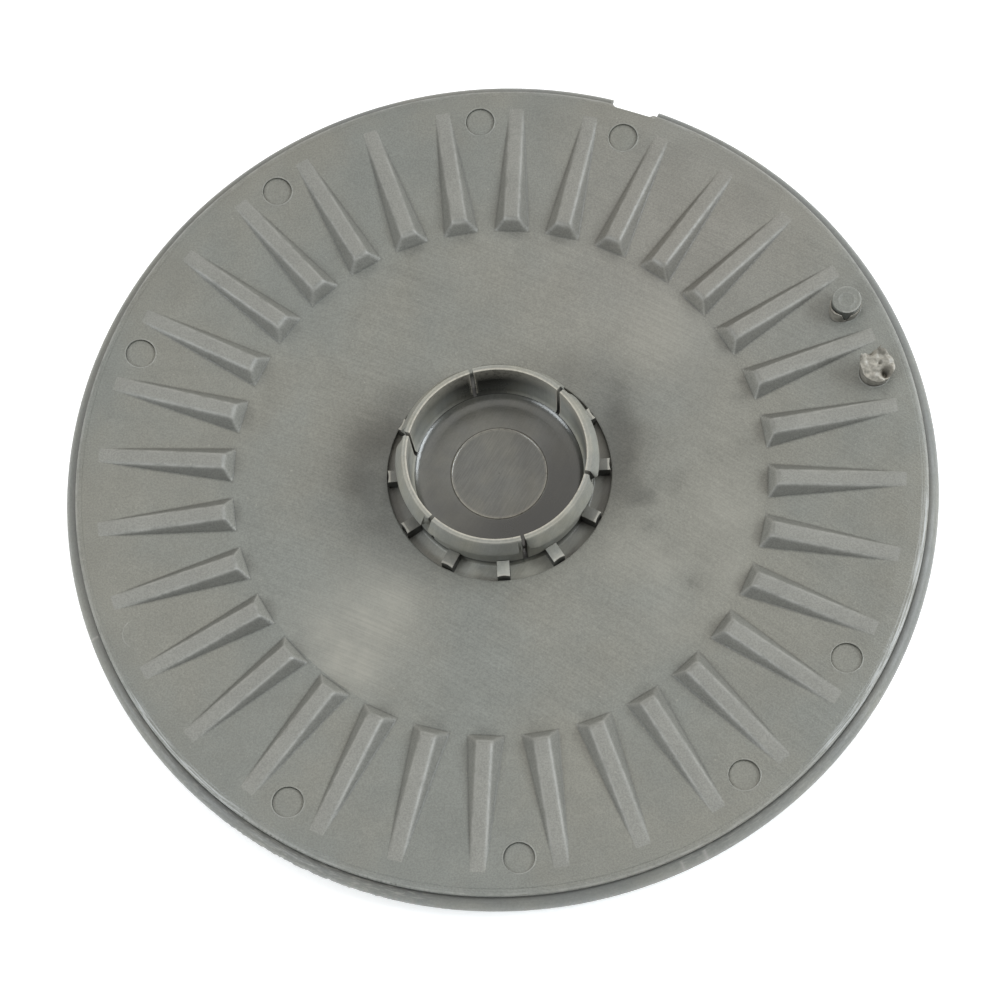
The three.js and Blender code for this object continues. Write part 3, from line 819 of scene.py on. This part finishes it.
def mark_finger(finger, middle, half):
    """Marks a finger's edges, paler from wear and a painted highlight, a painted shade in its slits and on
    its inner face, and painted light and shade round the axis.
    """
    x, y, z = points_of(finger).T
    radius = np.hypot(x, y)
    off = (np.arctan2(y, x) - middle + math.pi) % (2 * math.pi) - math.pi
    to_slit = (half - np.abs(off)) * radius - SLIT_WIDTH / 2
    top = z > COLLAR_TOP - 0.5
    # Edges paler: wear and a painted highlight along the crown and the slits' inner edges.
    crown = (near(radius, 30.5, 0.2) + 0.2 * near(radius, 32.0, 0.3)) * top
    shoulder = 0.08 * (z > COLLAR_TOP - 0.2) + 0.03 * (z > BARB_HEIGHT + 0.1)
    inner = radius < CUP_INNER + 0.55
    slit_edge = 1.3 * near(to_slit, 0.2, 0.2) * (z > CUP_WALL_TOP + 1) * inner
    mark(finger, edge=np.maximum(np.maximum(crown, shoulder), slit_edge))
    # Painted shade in the slits.
    degrees = np.degrees(np.arctan2(y, x))
    front = around(degrees, math.degrees(FRONT_SLIT), 3) * (radius > CUP_OUTER - 1)
    slit_shade = (to_slit < 0.06) * (z < COLLAR_TOP - 0.4) + front * (to_slit < 0.4) * (z < COLLAR_TOP - 1)
    mark(finger, slit=0.95 * slit_shade)
    # Painted shade on the inner face, strongest on the far wall.
    inside = inner & (z < COLLAR_TOP - 0.25)
    mark(finger, inside=inside * (0.08 + 0.92 * around(degrees, 90, 22)))
    # Painted light and shade: outer faces lighter at the sides, and tones round the axis on the inner
    # wall.
    sideways = np.abs(np.cos(np.radians(degrees)))
    tone = np.where(z > COLLAR_TOP - 0.2, 1.12 + 0.1 * sideways, 0.97 + 0.53 * sideways)
    low_wall = toned(degrees, 1.3, LOW_WALL_TONES)
    high_wall = toned(degrees, 1.0, HIGH_WALL_TONES)
    wall_tone = low_wall + (high_wall - low_wall) * np.clip((z - 15) / 4, 0, 1)
    mark(finger, tone=0.5 * np.where(inside, wall_tone, tone))


def make_lug(index):
    """A lug: an upright block whose outer end is slightly hollow, with softened edges."""
    angle = LUG_FIRST + index * 2 * math.pi / LUG_COUNT
    name = f"locating_lug_{index + 1:02d}"
    half = LUG_WIDTH / 2
    inner = CUP_OUTER + 0.05
    outer = HOLE_RADIUS - 0.35
    outline = [(inner, -half), (outer, -half)]
    for t in np.linspace(-half * 0.8, half * 0.8, 7):
        outline.append((outer - LUG_HOLLOW * (1 - (t / half) ** 2), t))
    outline += [(outer, half), (inner, half)]
    upper = [(x - 0.06 * (x > inner), y * 0.97) for x, y in outline]
    mesh = bmesh.new()
    prism_into(mesh, outline, upper, MOAT_FLOOR, LUG_TOP, angle)
    lug = object_from(mesh, name + "_moulding")
    bevel(lug, 0.16, 3, 50)
    apply_modifiers(lug)
    smooth(lug, 50)
    # Painted light and shade by the lug's direction round the axis.
    tone = toned(math.degrees(angle), 0.75, LUG_TONES)
    mark(lug, tone=np.full(len(lug.data.vertices), 0.5 * tone))
    return place(lug, "disc", "plate_plastic", name)


# ---------------------------------------------------------------- pegs

def peg_mesh(name, profile, columns=64):
    """A peg from a half section of (radius, height) points that starts and ends on its own axis."""
    rings = np.array(profile[1:-1], float)
    angles = np.arange(columns) * 2 * math.pi / columns
    vertices = [(0, 0, profile[0][1])]
    for radius, height in rings:
        vertices += [(radius * math.cos(a), radius * math.sin(a), height) for a in angles]
    vertices.append((0, 0, profile[-1][1]))
    last = len(vertices) - 1
    faces = []
    for j in range(columns):
        beside = (j + 1) % columns
        faces.append((0, 1 + j, 1 + beside))
        for i in range(len(rings) - 1):
            low = 1 + i * columns
            high = low + columns
            faces.append((low + j, high + j, high + beside, low + beside))
        top = 1 + (len(rings) - 1) * columns
        faces.append((last, top + beside, top + j))
    return new_object(name, np.array(vertices, float), faces)


def seat_peg(piece, step, tilt):
    """Moves a peg from its own axis to its place, its upper part tilted like the cone."""
    spin = Matrix.Rotation(peg_angle(step), 3, "Z")
    for vertex in piece.data.vertices:
        x, y, z = vertex.co
        if z > PEG_BOTTOM + 1:
            z += x * tilt
        vertex.co = spin @ Vector((x + PEG_CIRCLE, y, z)) * MM
    face_outwards(piece)
    smooth(piece, 40)


def plate_level(radius):
    """Height of the plain plate surface at one radius of its cone."""
    return RIM - max(0.0, LAND_RADIUS - radius) * CONE_SLOPE


def make_flush_peg(index, step):
    """A fixing peg whose head sits a little below the plate's surface."""
    name = f"fixing_peg_{index + 1}"
    faint = step == FAINT_STEP
    top = plate_level(PEG_CIRCLE) - (0.0 if faint else PEG_RECESS)
    r = PEG_HOLE - (0.005 if faint else 0.04)
    fall = 0.01 if faint else 0.1
    profile = [(0, PEG_BOTTOM), (r, PEG_BOTTOM), (r, top - 0.4), (r, top - fall), (r - 0.12, top)]
    profile += [(r - 0.6, top), (3.4, top), (2.4, top - 0.03), (1.2, top), (0, top)]
    peg = peg_mesh(name + "_moulding", profile)
    seat_peg(peg, step, CONE_SLOPE)
    return place(peg, "disc", "plate_plastic", name)


def make_flash():
    """Thin raised rings of flash round the peg holes."""
    vertices = []
    faces = []
    columns = 72
    section = ((0.0, -0.3), (0.0, 0.03), (0.08, 0.1), (0.25, 0.11), (0.45, 0.03), (0.55, -0.1))
    section += ((0.5, -0.3),)
    for step in (*FLUSH_STEPS, STANDING_STEP, TORN_STEP):
        base = len(vertices)
        centre = peg_angle(step)
        for j in range(columns):
            turn = 2 * math.pi * j / columns
            seed = Vector((math.cos(turn) * 1.5, math.sin(turn) * 1.5, step * 3.7))
            rough = 0.75 + 0.5 * noise.noise(seed)
            if step == FAINT_STEP:
                rough *= float(between(math.degrees(turn + centre), 120, 235, 25)) - 0.2
            for out, up in section:
                radius = PEG_HOLE - 0.02 + out
                x = PEG_CIRCLE + radius * math.cos(turn)
                y = radius * math.sin(turn)
                z = plate_level(math.hypot(x, y)) + (up * rough if up > 0 else up)
                vertices.append(Matrix.Rotation(centre, 3, "Z") @ Vector((x, y, z)) * MM)
        faces += [tuple(base + i for i in face) for face in torus_faces(columns, len(section))]
    flash = new_object("peg_flash", vertices, faces)
    face_outwards(flash)
    smooth(flash, 60)
    # The flash is painted in the pale edge colour all over: wear and a painted highlight.
    mark(flash, edge=np.full(len(vertices), 0.6))
    return place(flash, "disc", "plate_plastic")


def make_standing_peg():
    """The standing peg: a round pin with a shallow ring moulded in its top."""
    r = PEG_RADIUS
    top = PEG_TOP - PEG_RADIUS * CONE_SLOPE
    profile = [(0, PEG_BOTTOM), (r, PEG_BOTTOM), (r, RIM), (r, top - 0.35)]
    profile += arc((r - 0.28, top - 0.28), (0.28, 0.28), 0, 90, 5)
    profile += [(4.2, top - 0.03), (2.95, top - 0.05), (2.8, top + 0.02), (2.6, top + 0.02)]
    profile += [(2.4, top - 0.08), (1.2, top - 0.1), (0, top - 0.1)]
    peg = peg_mesh("standing_peg_moulding", profile, 96)
    seat_peg(peg, STANDING_STEP, CONE_SLOPE * 0.7)
    x, y, z = points_of(peg).T
    centre = peg_centre(STANDING_STEP)
    radius = np.hypot(x - centre.x, y - centre.y)
    # The top's rim and its ring are paler: wear and a painted highlight.
    rim = near(radius, r - 0.15, 0.3) + 0.5 * near(radius, 2.7, 0.25)
    mark(peg, edge=rim * (z > PEG_TOP - 1))
    # Painted shade down the front side of the shaft.
    shaft = (radius > r - 0.2) * (z < PEG_TOP - 0.6)
    degrees = np.degrees(np.arctan2(y - centre.y, x - centre.x))
    mark(peg, stain=1.3 * around(degrees, -95, 35) * shaft)
    return place(peg, "disc", "plate_plastic", "standing_peg")


def make_sleeve():
    """The rest of the sleeve moulded round the standing peg: a low ring, torn up on one side."""
    columns = 180
    rows = 9
    centre = peg_centre(STANDING_STEP)
    base = plate_level(PEG_CIRCLE)
    vertices = []
    for j in range(columns):
        turn = 2 * math.pi * j / columns
        degrees = math.degrees(turn)
        torn = math.exp(-(((degrees - 213) / 28) ** 2))
        gap = math.exp(-(((degrees - 260) / 13) ** 4))
        ragged = noise.noise(Vector((turn * 4, 1.3, 0)))
        high = 3.9 + 0.12 * ragged + torn * (0.9 + 0.7 * ragged) - 3.4 * gap
        high -= 2.6 * float(between(degrees, 95, 165, 14))
        inner = PEG_RADIUS + 0.06 + 0.5 * torn
        outer = inner + 0.25 + 0.55 * torn
        for i in range(rows):
            share = i / (rows - 1)
            z = base - 0.4 + (high + 0.4) * share
            vertices.append(polar_point(centre, outer - 0.3 * share * torn, turn, z))
        for i in range(rows):
            share = 1 - i / (rows - 1)
            z = base - 0.4 + (high + 0.4) * share
            vertices.append(polar_point(centre, inner, turn, z))
    sleeve = new_object("standing_peg_sleeve", vertices, torus_faces(columns, 2 * rows))
    face_outwards(sleeve)
    smooth(sleeve, 45)
    x, y, z = points_of(sleeve).T
    degrees = np.degrees(np.arctan2(y - centre.y, x - centre.x)) % 360
    # Painted shade round the sleeve's low part, except on its torn side.
    shade = 0.55 * between(degrees, 225, 360, 20) + 0.45 * between(degrees, 0, 120, 20)
    mark(sleeve, pit=shade * (z < base + 3.3))
    return place(sleeve, "disc", "torn_plastic")


def torn_height(x, y):
    """Height of the torn peg's crumpled top over the plate, at a place seen from the peg's axis."""
    high = 6.2 + 0.5 * y
    for lump, at_x, at_y, reach in TORN_LUMPS:
        high += lump * math.exp(-(((x - at_x) / reach) ** 2) - ((y - at_y) / reach) ** 2)
    high += 0.9 * noise.noise(Vector((x * 0.45, y * 0.45, 2.2)))
    return high + 0.2 * noise.noise(Vector((x * 1.2, y * 1.2, 6)))


def make_torn_peg():
    """The torn peg: a stub pulled up into ragged fibres, leaning away from the plate's middle."""
    columns = 168
    centre = peg_centre(TORN_STEP)
    base = plate_level(PEG_CIRCLE)
    rings = [("wall", share) for share in (0.0, 0.2, 0.4, 0.6, 0.8, 0.93)]
    rings += [("top", share) for share in (1.0, 0.985, 0.95, *np.arange(0.9, 0.05, -0.06))]
    vertices = [Vector((centre.x, centre.y, PEG_BOTTOM)) * MM]
    for j in range(columns):
        turn = 2 * math.pi * j / columns
        vertices.append(polar_point(centre, PEG_RADIUS, turn, PEG_BOTTOM))
    for kind, share in rings:
        for j in range(columns):
            turn = 2 * math.pi * j / columns
            away = math.cos(turn + math.radians(18))
            ragged = noise.noise(Vector((math.cos(turn) * 2.2, math.sin(turn) * 2.2, 1.7)))
            spread = PEG_RADIUS + 0.1 + 1.2 * max(0.0, away) ** 3 + 0.25 * ragged
            spread += 0.9 * math.exp(-(((math.degrees(turn) - 150) / 24) ** 2))
            x = spread * math.cos(turn)
            y = spread * math.sin(turn) * 0.97
            if kind == "top":
                high = torn_height(x * share, y * share)
                vertices.append(polar_point(centre, spread * share, turn, base + high))
            else:
                high = torn_height(x, y)
                radius = PEG_RADIUS + (spread - PEG_RADIUS) * share
                radius += 0.15 * share * noise.noise(Vector((turn * 4, share * 2, 3)))
                vertices.append(polar_point(centre, radius, turn, base - 0.5 + (high + 0.5) * share))
    vertices.append(Vector((centre.x, centre.y, base + torn_height(0, 0))) * MM)
    last = len(vertices) - 1
    faces = []
    count = len(rings) + 1
    for j in range(columns):
        beside = (j + 1) % columns
        faces.append((0, 1 + beside, 1 + j))
        for i in range(count - 1):
            low = 1 + i * columns
            high = low + columns
            faces.append((low + j, low + beside, high + beside, high + j))
        top = 1 + (count - 1) * columns
        faces.append((last, top + j, top + beside))
    peg = new_object("torn_peg_moulding", vertices, faces)
    face_outwards(peg)
    smooth(peg, 50)
    x, y, z = points_of(peg).T
    x = x - centre.x
    y = y - centre.y
    top = z > base + 2
    # Painted shade in the top's hollows and round the foot where it meets the plate.
    pit = 0.8 * near(np.hypot(x - 2.9, y + 2.5), 0, 1.3) + 0.5 * near(np.hypot(x - 1.3, y - 0.6), 0, 0.6)
    foot = 0.7 * np.clip(1 - (z - base) / 1.3, 0, 1) * (np.hypot(x, y) > PEG_RADIUS - 0.5)
    mark(peg, pit=pit * top + foot)
    return place(peg, "disc", "torn_plastic", "torn_peg")


# ---------------------------------------------------------------- materials

class Paint:
    """One material's node tree, with short ways to add and join its nodes."""

    def __init__(self, name):
        self.material = bpy.data.materials.new(name)
        self.material.use_nodes = True
        self.tree = self.material.node_tree
        self.shader = self.tree.nodes["Principled BSDF"]
        self.place = self.add("ShaderNodeTexCoord").outputs["Object"]
        flat = self.add("ShaderNodeVectorMath", {0: self.place, 1: (1, 1, 0)}, operation="MULTIPLY")
        self.plan = flat.outputs[0]

    def add(self, kind, inputs=None, **settings):
        node = self.tree.nodes.new(kind)
        for key, value in settings.items():
            setattr(node, key, value)
        for socket, value in (inputs or {}).items():
            self.feed(node.inputs[socket], value)
        return node

    def feed(self, socket, value):
        if isinstance(value, bpy.types.NodeSocket):
            self.tree.links.new(value, socket)
        else:
            socket.default_value = value

    def noise(self, size, detail=3.0, roughness=0.55, distortion=0.0):
        """Noise from 0 to 1 whose coarsest lumps are about size mm across."""
        inputs = {"Vector": self.place, "Scale": 1 / (size * MM), "Detail": detail}
        inputs.update({"Roughness": roughness, "Distortion": distortion})
        return self.add("ShaderNodeTexNoise", inputs).outputs["Fac"]

    def streaks(self, centre, across, along, detail=3.0):
        """Noise drawn out along arcs round a centre: across mm wide and along mm long."""
        middle = Vector((*centre, 0)) * MM
        away = self.add("ShaderNodeVectorMath", {0: self.plan, 1: middle}, operation="SUBTRACT")
        offset = away.outputs[0]
        parts = self.add("ShaderNodeSeparateXYZ", {0: offset})
        radius = self.length(offset)
        angle = self.math("ARCTAN2", parts.outputs["Y"], parts.outputs["X"])
        reach = math.hypot(*centre) or 100  # radius in mm at which the arcs are as long as asked
        lanes = self.math("MULTIPLY", radius, 1 / (across * MM))
        turns = self.math("MULTIPLY", angle, reach / along)
        at = self.add("ShaderNodeCombineXYZ", {"X": lanes, "Y": turns}).outputs[0]
        inputs = {"Vector": at, "Scale": 1.0, "Detail": detail, "Roughness": 0.5}
        return self.add("ShaderNodeTexNoise", inputs).outputs["Fac"]

    def length(self, vector):
        return self.add("ShaderNodeVectorMath", {0: vector}, operation="LENGTH").outputs["Value"]

    def math(self, operation, first, second=0.0):
        return self.add("ShaderNodeMath", {0: first, 1: second}, operation=operation).outputs[0]

    def times(self, first, second):
        return self.math("MULTIPLY", first, second)

    def fit(self, value, low, high, out_low=0.0, out_high=1.0):
        """The value's range from low to high, eased on to another range and held at its ends."""
        inputs = {"Value": value, "From Min": low, "From Max": high, "To Min": out_low, "To Max": out_high}
        return self.add("ShaderNodeMapRange", inputs, interpolation_type="SMOOTHSTEP").outputs["Result"]

    def attribute(self, name):
        return self.add("ShaderNodeAttribute", attribute_name=name).outputs["Fac"]

    def mix(self, share, first, second):
        node = self.add("ShaderNodeMix", data_type="RGBA")
        for socket, value in ((0, share), (6, first), (7, second)):
            if isinstance(value, tuple):
                value = (*value, 1)
            self.feed(node.inputs[socket], value)
        return node.outputs[2]

    def shade(self, colour, share, low, high):
        """The colour times low where share is 0, and times high where it is 1."""
        factor = self.fit(share, 0.0, 1.0, low, high)
        node = self.add("ShaderNodeVectorMath", {0: colour, 3: factor}, operation="SCALE")
        return node.outputs[0]

    def finish(self, colour, roughness, height, depth):
        """Joins colour, roughness and a bump of depth mm to the shader."""
        inputs = {"Height": height, "Distance": depth * MM, "Strength": 1.0}
        self.feed(self.shader.inputs["Base Color"], colour)
        self.feed(self.shader.inputs["Roughness"], roughness)
        self.feed(self.shader.inputs["Normal"], self.add("ShaderNodeBump", inputs).outputs["Normal"])
        return self.material


def cover(piece, material):
    """Gives a piece its one material."""
    piece.data.materials.clear()
    piece.data.materials.append(material)


def plain_material(name, colour, roughness, glow):
    material = bpy.data.materials.new(name)
    material.use_nodes = True
    shader = material.node_tree.nodes["Principled BSDF"]
    shader.inputs["Base Color"].default_value = (*colour, 1)
    shader.inputs["Roughness"].default_value = roughness
    shader.inputs["Emission Color"].default_value = (1, 1, 1, 1)
    shader.inputs["Emission Strength"].default_value = glow
    return material


def plate_material():
    """Grey moulded plastic: grained ribs and panels, and a smoother centre with fine tool lines."""
    paint = Paint("plate_plastic_grained")
    rib = paint.attribute("rib")
    edge = paint.attribute("edge")
    stain = paint.attribute("stain")
    scuff = paint.attribute("scuff")
    centre = paint.attribute("centre")
    colour = paint.mix(paint.fit(paint.noise(55, 4.0), 0.35, 0.65), PLATE_COOL, PLATE_WARM)
    colour = paint.mix(paint.fit(rib, 0.2, 0.8), colour, RIB_GREY)
    colour = paint.mix(paint.times(paint.attribute("warm"), 0.8), colour, PLATE_AGED)
    lines = paint.streaks((-330, -480), 0.5, 40)
    fine = paint.times(paint.fit(lines, 0.3, 0.7, -1.0, 1.0), paint.attribute("lines"))
    colour = paint.shade(colour, paint.fit(fine, -1.0, 1.0), 0.955, 1.045)
    faint = paint.times(paint.fit(paint.streaks((420, 160), 0.6, 25), 0.56, 0.7), centre)
    colour = paint.shade(colour, faint, 1.0, 1.04)
    cloud = paint.noise(16, 5.0, 0.6, distortion=0.5)
    colour = paint.shade(colour, cloud, 0.88, 1.12)
    grain = paint.noise(0.6, 3.0, 0.7)
    colour = paint.shade(colour, paint.fit(grain, 0.3, 0.7), 0.87, 1.13)
    specks = paint.fit(paint.noise(1.5, 2.0, 0.6), 0.68, 0.76)
    colour = paint.mix(paint.times(specks, 0.35), colour, SPECK_PALE)
    broken = paint.fit(paint.noise(13, 2.5, 0.5, distortion=0.3), 0.3, 0.7, 0.5, 1.0)
    # Stains, and the painted shadow and shade carried in the same mask, darken the colour.
    colour = paint.shade(colour, paint.times(stain, broken), 1.0, 0.52)
    light = paint.times(paint.attribute("pale"), paint.fit(paint.noise(11, 3.0), 0.3, 0.7, 0.6, 1.0))
    light = paint.times(light, paint.fit(lines, 0.3, 0.7, 0.65, 0.9))
    colour = paint.mix(light, colour, PATCH_PALE)
    # Painted shade along the ribs' roots.
    colour = paint.shade(colour, paint.attribute("root"), 1.0, 0.78)
    # Painted shade on the ribs' sides and painted light on their inner ends.
    colour = paint.shade(colour, paint.attribute("side"), 1.0, 0.6)
    colour = paint.shade(colour, paint.attribute("end"), 1.0, 1.4)
    # Edges paler, partly from wear and partly as a painted highlight.
    wear_and_highlight = paint.times(edge, paint.fit(paint.noise(4, 3.0), 0.3, 0.6, 0.35, 1.0))
    colour = paint.mix(paint.times(wear_and_highlight, 0.5), colour, EDGE_WEAR_AND_HIGHLIGHT)
    # Pale streaks on the lip: scrapes, and partly a painted highlight.
    rubbed = paint.times(paint.fit(paint.streaks((0, 0), 0.45, 9), 0.44, 0.6), scuff)
    colour = paint.mix(paint.times(rubbed, 0.7), colour, LIP_SCRAPES_AND_HIGHLIGHT)
    parts = paint.add("ShaderNodeSeparateXYZ", {0: paint.place})
    angle = paint.math("ARCTAN2", parts.outputs["Y"], parts.outputs["X"])
    comb = paint.fit(paint.math("SINE", paint.times(angle, BITE_COUNT)), 0.1, 0.5)
    comb = paint.times(comb, paint.fit(paint.noise(2.5, 2.0), 0.4, 0.6, 0.1, 0.85))
    bites = paint.times(comb, paint.attribute("bites"))
    colour = paint.mix(bites, colour, BITE_DARK)
    roughness = paint.fit(paint.noise(14, 4.0), 0.3, 0.7, 0.34, 0.46)
    height = paint.times(grain, paint.fit(centre, 0.0, 1.0, 1.0, 0.35))
    return paint.finish(colour, roughness, height, 0.16)


def shell_material():
    """The back shell's grey plastic, scraped along its rolled flange, with a painted shade and a painted
    reflection across the flange.
    """
    paint = Paint("shell_plastic_scraped")
    tone = paint.noise(30, 4.0)
    colour = paint.mix(paint.fit(tone, 0.35, 0.65), SHELL_COOL, SHELL_WARM)
    colour = paint.shade(colour, paint.streaks((0, 0), 0.35, 14), 0.94, 1.06)
    # Painted shade near the lip, painted reflection towards the flange's edge.
    colour = paint.shade(colour, paint.attribute("outward"), 0.7, 1.42)
    rubbed = paint.fit(paint.streaks((0, 0), 0.4, 2.5, 4.0), 0.48, 0.66)
    rubbed = paint.times(rubbed, paint.attribute("scuff"))
    colour = paint.mix(paint.times(rubbed, 0.4), colour, SHELL_RUBBED)
    colour = paint.mix(paint.times(paint.attribute("seam"), 0.6), colour, SEAM_PALE)
    grain = paint.noise(0.8, 3.0, 0.7)
    colour = paint.shade(colour, grain, 0.82, 1.18)
    roughness = paint.fit(paint.noise(10, 4.0), 0.3, 0.7, 0.4, 0.55)
    return paint.finish(colour, roughness, grain, 0.08)


def hub_material(name, gloss):
    """Smooth grey plastic, paler along its top edges and slits from wear and a painted highlight, with a
    painted shade inside the cup and in the slits and painted light and shade round the axis.
    """
    paint = Paint(name)
    paint.shader.inputs["Specular IOR Level"].default_value = gloss
    inside = paint.attribute("inside")
    tone = paint.noise(12, 4.0)
    colour = paint.mix(paint.fit(tone, 0.35, 0.65), HUB_COOL, HUB_WARM)
    # Painted shade inside the cup and on the fingers' far inner wall.
    colour = paint.shade(colour, inside, 1.0, 0.38)
    # Painted light and shade round the axis.
    colour = paint.shade(colour, paint.attribute("tone"), 0.0, 2.0)
    disc = paint.attribute("disc")
    colour = paint.shade(colour, disc, 1.0, 1.4)
    hatch = paint.fit(paint.streaks((-520, 430), 0.5, 8), 0.3, 0.7, -1.0, 1.0)
    hatch = paint.times(hatch, paint.fit(disc, 0.0, 1.0, 0.25, 1.0))
    colour = paint.shade(colour, paint.fit(hatch, -1.0, 1.0), 0.9, 1.1)
    cloud = paint.noise(7, 4.0)
    colour = paint.shade(colour, cloud, 0.8, 1.2)
    # Edges paler, partly from wear and partly as a painted highlight.
    edge = paint.attribute("edge")
    wear_and_highlight = paint.times(edge, paint.fit(paint.noise(1.6, 4.0, 0.65), 0.36, 0.52, 0.5, 1.0))
    colour = paint.mix(wear_and_highlight, colour, HUB_WEAR_AND_HIGHLIGHT)
    # Painted shade in the slits.
    colour = paint.mix(paint.attribute("slit"), colour, SLIT_SHADOW)
    grain = paint.noise(0.6, 2.0, 0.6)
    colour = paint.shade(colour, grain, 0.9, 1.1)
    roughness = paint.fit(inside, 0.0, 1.0, 0.42, 0.2)
    roughness = paint.math("ADD", roughness, paint.fit(paint.noise(6, 3.0), 0.3, 0.7, 0.0, 0.06))
    return paint.finish(colour, roughness, grain, 0.03)


def lug_material():
    """The lugs' grained plastic, with a painted shade darkening their upright sides and painted light and
    shade by direction.
    """
    paint = Paint("lug_plastic_shaded")
    parts = paint.add("ShaderNodeSeparateXYZ", {0: paint.place})
    colour = paint.mix(paint.fit(paint.noise(3, 4.0), 0.35, 0.65), LUG_COOL, LUG_WARM)
    tip = paint.fit(paint.length(paint.plan), (HOLE_RADIUS - 1.55) * MM, (HOLE_RADIUS - 1.15) * MM)
    # Painted light and shade by direction.
    colour = paint.shade(colour, paint.attribute("tone"), 0.0, 2.0)
    colour = paint.mix(paint.times(tip, 0.75), colour, LUG_TIP)
    # Painted shade on the upright sides, nearly black below the top.
    upright = paint.fit(parts.outputs["Z"], (LUG_TOP - 0.3) * MM, (LUG_TOP - 0.08) * MM, 0.95, 0.0)
    colour = paint.mix(upright, colour, LUG_SHADE)
    grain = paint.noise(0.6, 3.0, 0.65)
    colour = paint.shade(colour, grain, 0.9, 1.1)
    return paint.finish(colour, paint.fit(grain, 0.3, 0.7, 0.42, 0.52), grain, 0.06)


def torn_material():
    """Plastic that has been torn: pale where its fibres are pulled, with a painted shade in its folds and
    hollows.
    """
    paint = Paint("torn_plastic_fibrous")
    fibres = paint.noise(1.6, 3.0, 0.55)
    colour = paint.mix(paint.fit(fibres, 0.36, 0.6), TORN_DARK, TORN_PALE)
    # Painted shade in folds and hollows.
    colour = paint.shade(colour, paint.attribute("pit"), 1.0, 0.3)
    return paint.finish(colour, 0.42, paint.noise(0.9, 3.0), 0.06)


# ---------------------------------------------------------------- stage

def make_camera():
    data = bpy.data.cameras.new("camera")
    data.lens = CAMERA_LENS
    data.shift_x, data.shift_y = CAMERA_SHIFT
    data.clip_start = 0.01
    camera = linked("camera", data)
    flat = math.cos(CAMERA_ELEVATION)
    side = math.sin(CAMERA_AZIMUTH) * flat
    front = -math.cos(CAMERA_AZIMUTH) * flat
    back = Vector((side, front, math.sin(CAMERA_ELEVATION)))
    camera.location = Vector((0, 0, RIM * MM)) + back * CAMERA_DISTANCE
    aim = (-back).to_track_quat("-Z", "Y")
    camera.rotation_mode = "QUATERNION"
    camera.rotation_quaternion = aim @ Matrix.Rotation(CAMERA_ROLL, 3, "Z").to_quaternion()
    bpy.context.scene.camera = camera


def make_softbox(name, place_at, size, power):
    data = bpy.data.lights.new(name, "AREA")
    data.shape = "RECTANGLE"
    data.size, data.size_y = size
    data.energy = power
    data.color = SOFTBOX_COLOUR
    light = linked(name, data)
    light.location = place_at
    light.rotation_mode = "QUATERNION"
    light.rotation_quaternion = (-Vector(place_at)).to_track_quat("-Z", "Y")


def make_floor():
    corners = ((-1, -1), (1, -1), (1, 1), (-1, 1))
    vertices = [(x * FLOOR_HALF, y * FLOOR_HALF, 0) for x, y in corners]
    floor = new_object("floor", vertices, [(0, 1, 2, 3)])
    floor.location.z = -FLOOR_GAP
    floor.data.materials.append(plain_material("floor_white", FLOOR_WHITE, 0.9, FLOOR_GLOW))


def make_sky():
    world = bpy.data.worlds.new("studio")
    world.use_nodes = True
    background = world.node_tree.nodes["Background"]
    background.inputs["Color"].default_value = (1, 1, 1, 1)
    background.inputs["Strength"].default_value = SKY_STRENGTH
    bpy.context.scene.world = world
    bpy.context.scene.view_settings.view_transform = "Standard"


def make_overhead():
    """A wide soft light from high above, leaning towards the disc's far side."""
    sun = bpy.data.lights.new("overhead", "SUN")
    sun.energy = SUN_STRENGTH
    sun.angle = SUN_SPREAD
    sun.color = SUN_COLOUR
    linked("overhead", sun).rotation_euler = (SUN_TILT, 0, 0)


make_camera()
make_floor()
make_sky()
for softbox in SOFTBOXES:
    make_softbox(*softbox)
make_overhead()
plate_plastic = plate_material()
shell_plastic = shell_material()
cup_plastic = hub_material("cup_plastic_glossy", 0.62)
finger_plastic = hub_material("finger_plastic_smooth", 0.5)
lug_plastic = lug_material()
torn_plastic = torn_material()
cover(make_plate(), plate_plastic)
cover(make_shell(), shell_plastic)
cover(make_cup(), cup_plastic)
for index in range(FINGER_COUNT):
    cover(make_finger(index), finger_plastic)
for index in range(LUG_COUNT):
    cover(make_lug(index), lug_plastic)
for index, step in enumerate(FLUSH_STEPS):
    cover(make_flush_peg(index, step), plate_plastic)
cover(make_flash(), plate_plastic)
cover(make_standing_peg(), plate_plastic)
cover(make_sleeve(), torn_plastic)
cover(make_torn_peg(), torn_plastic)
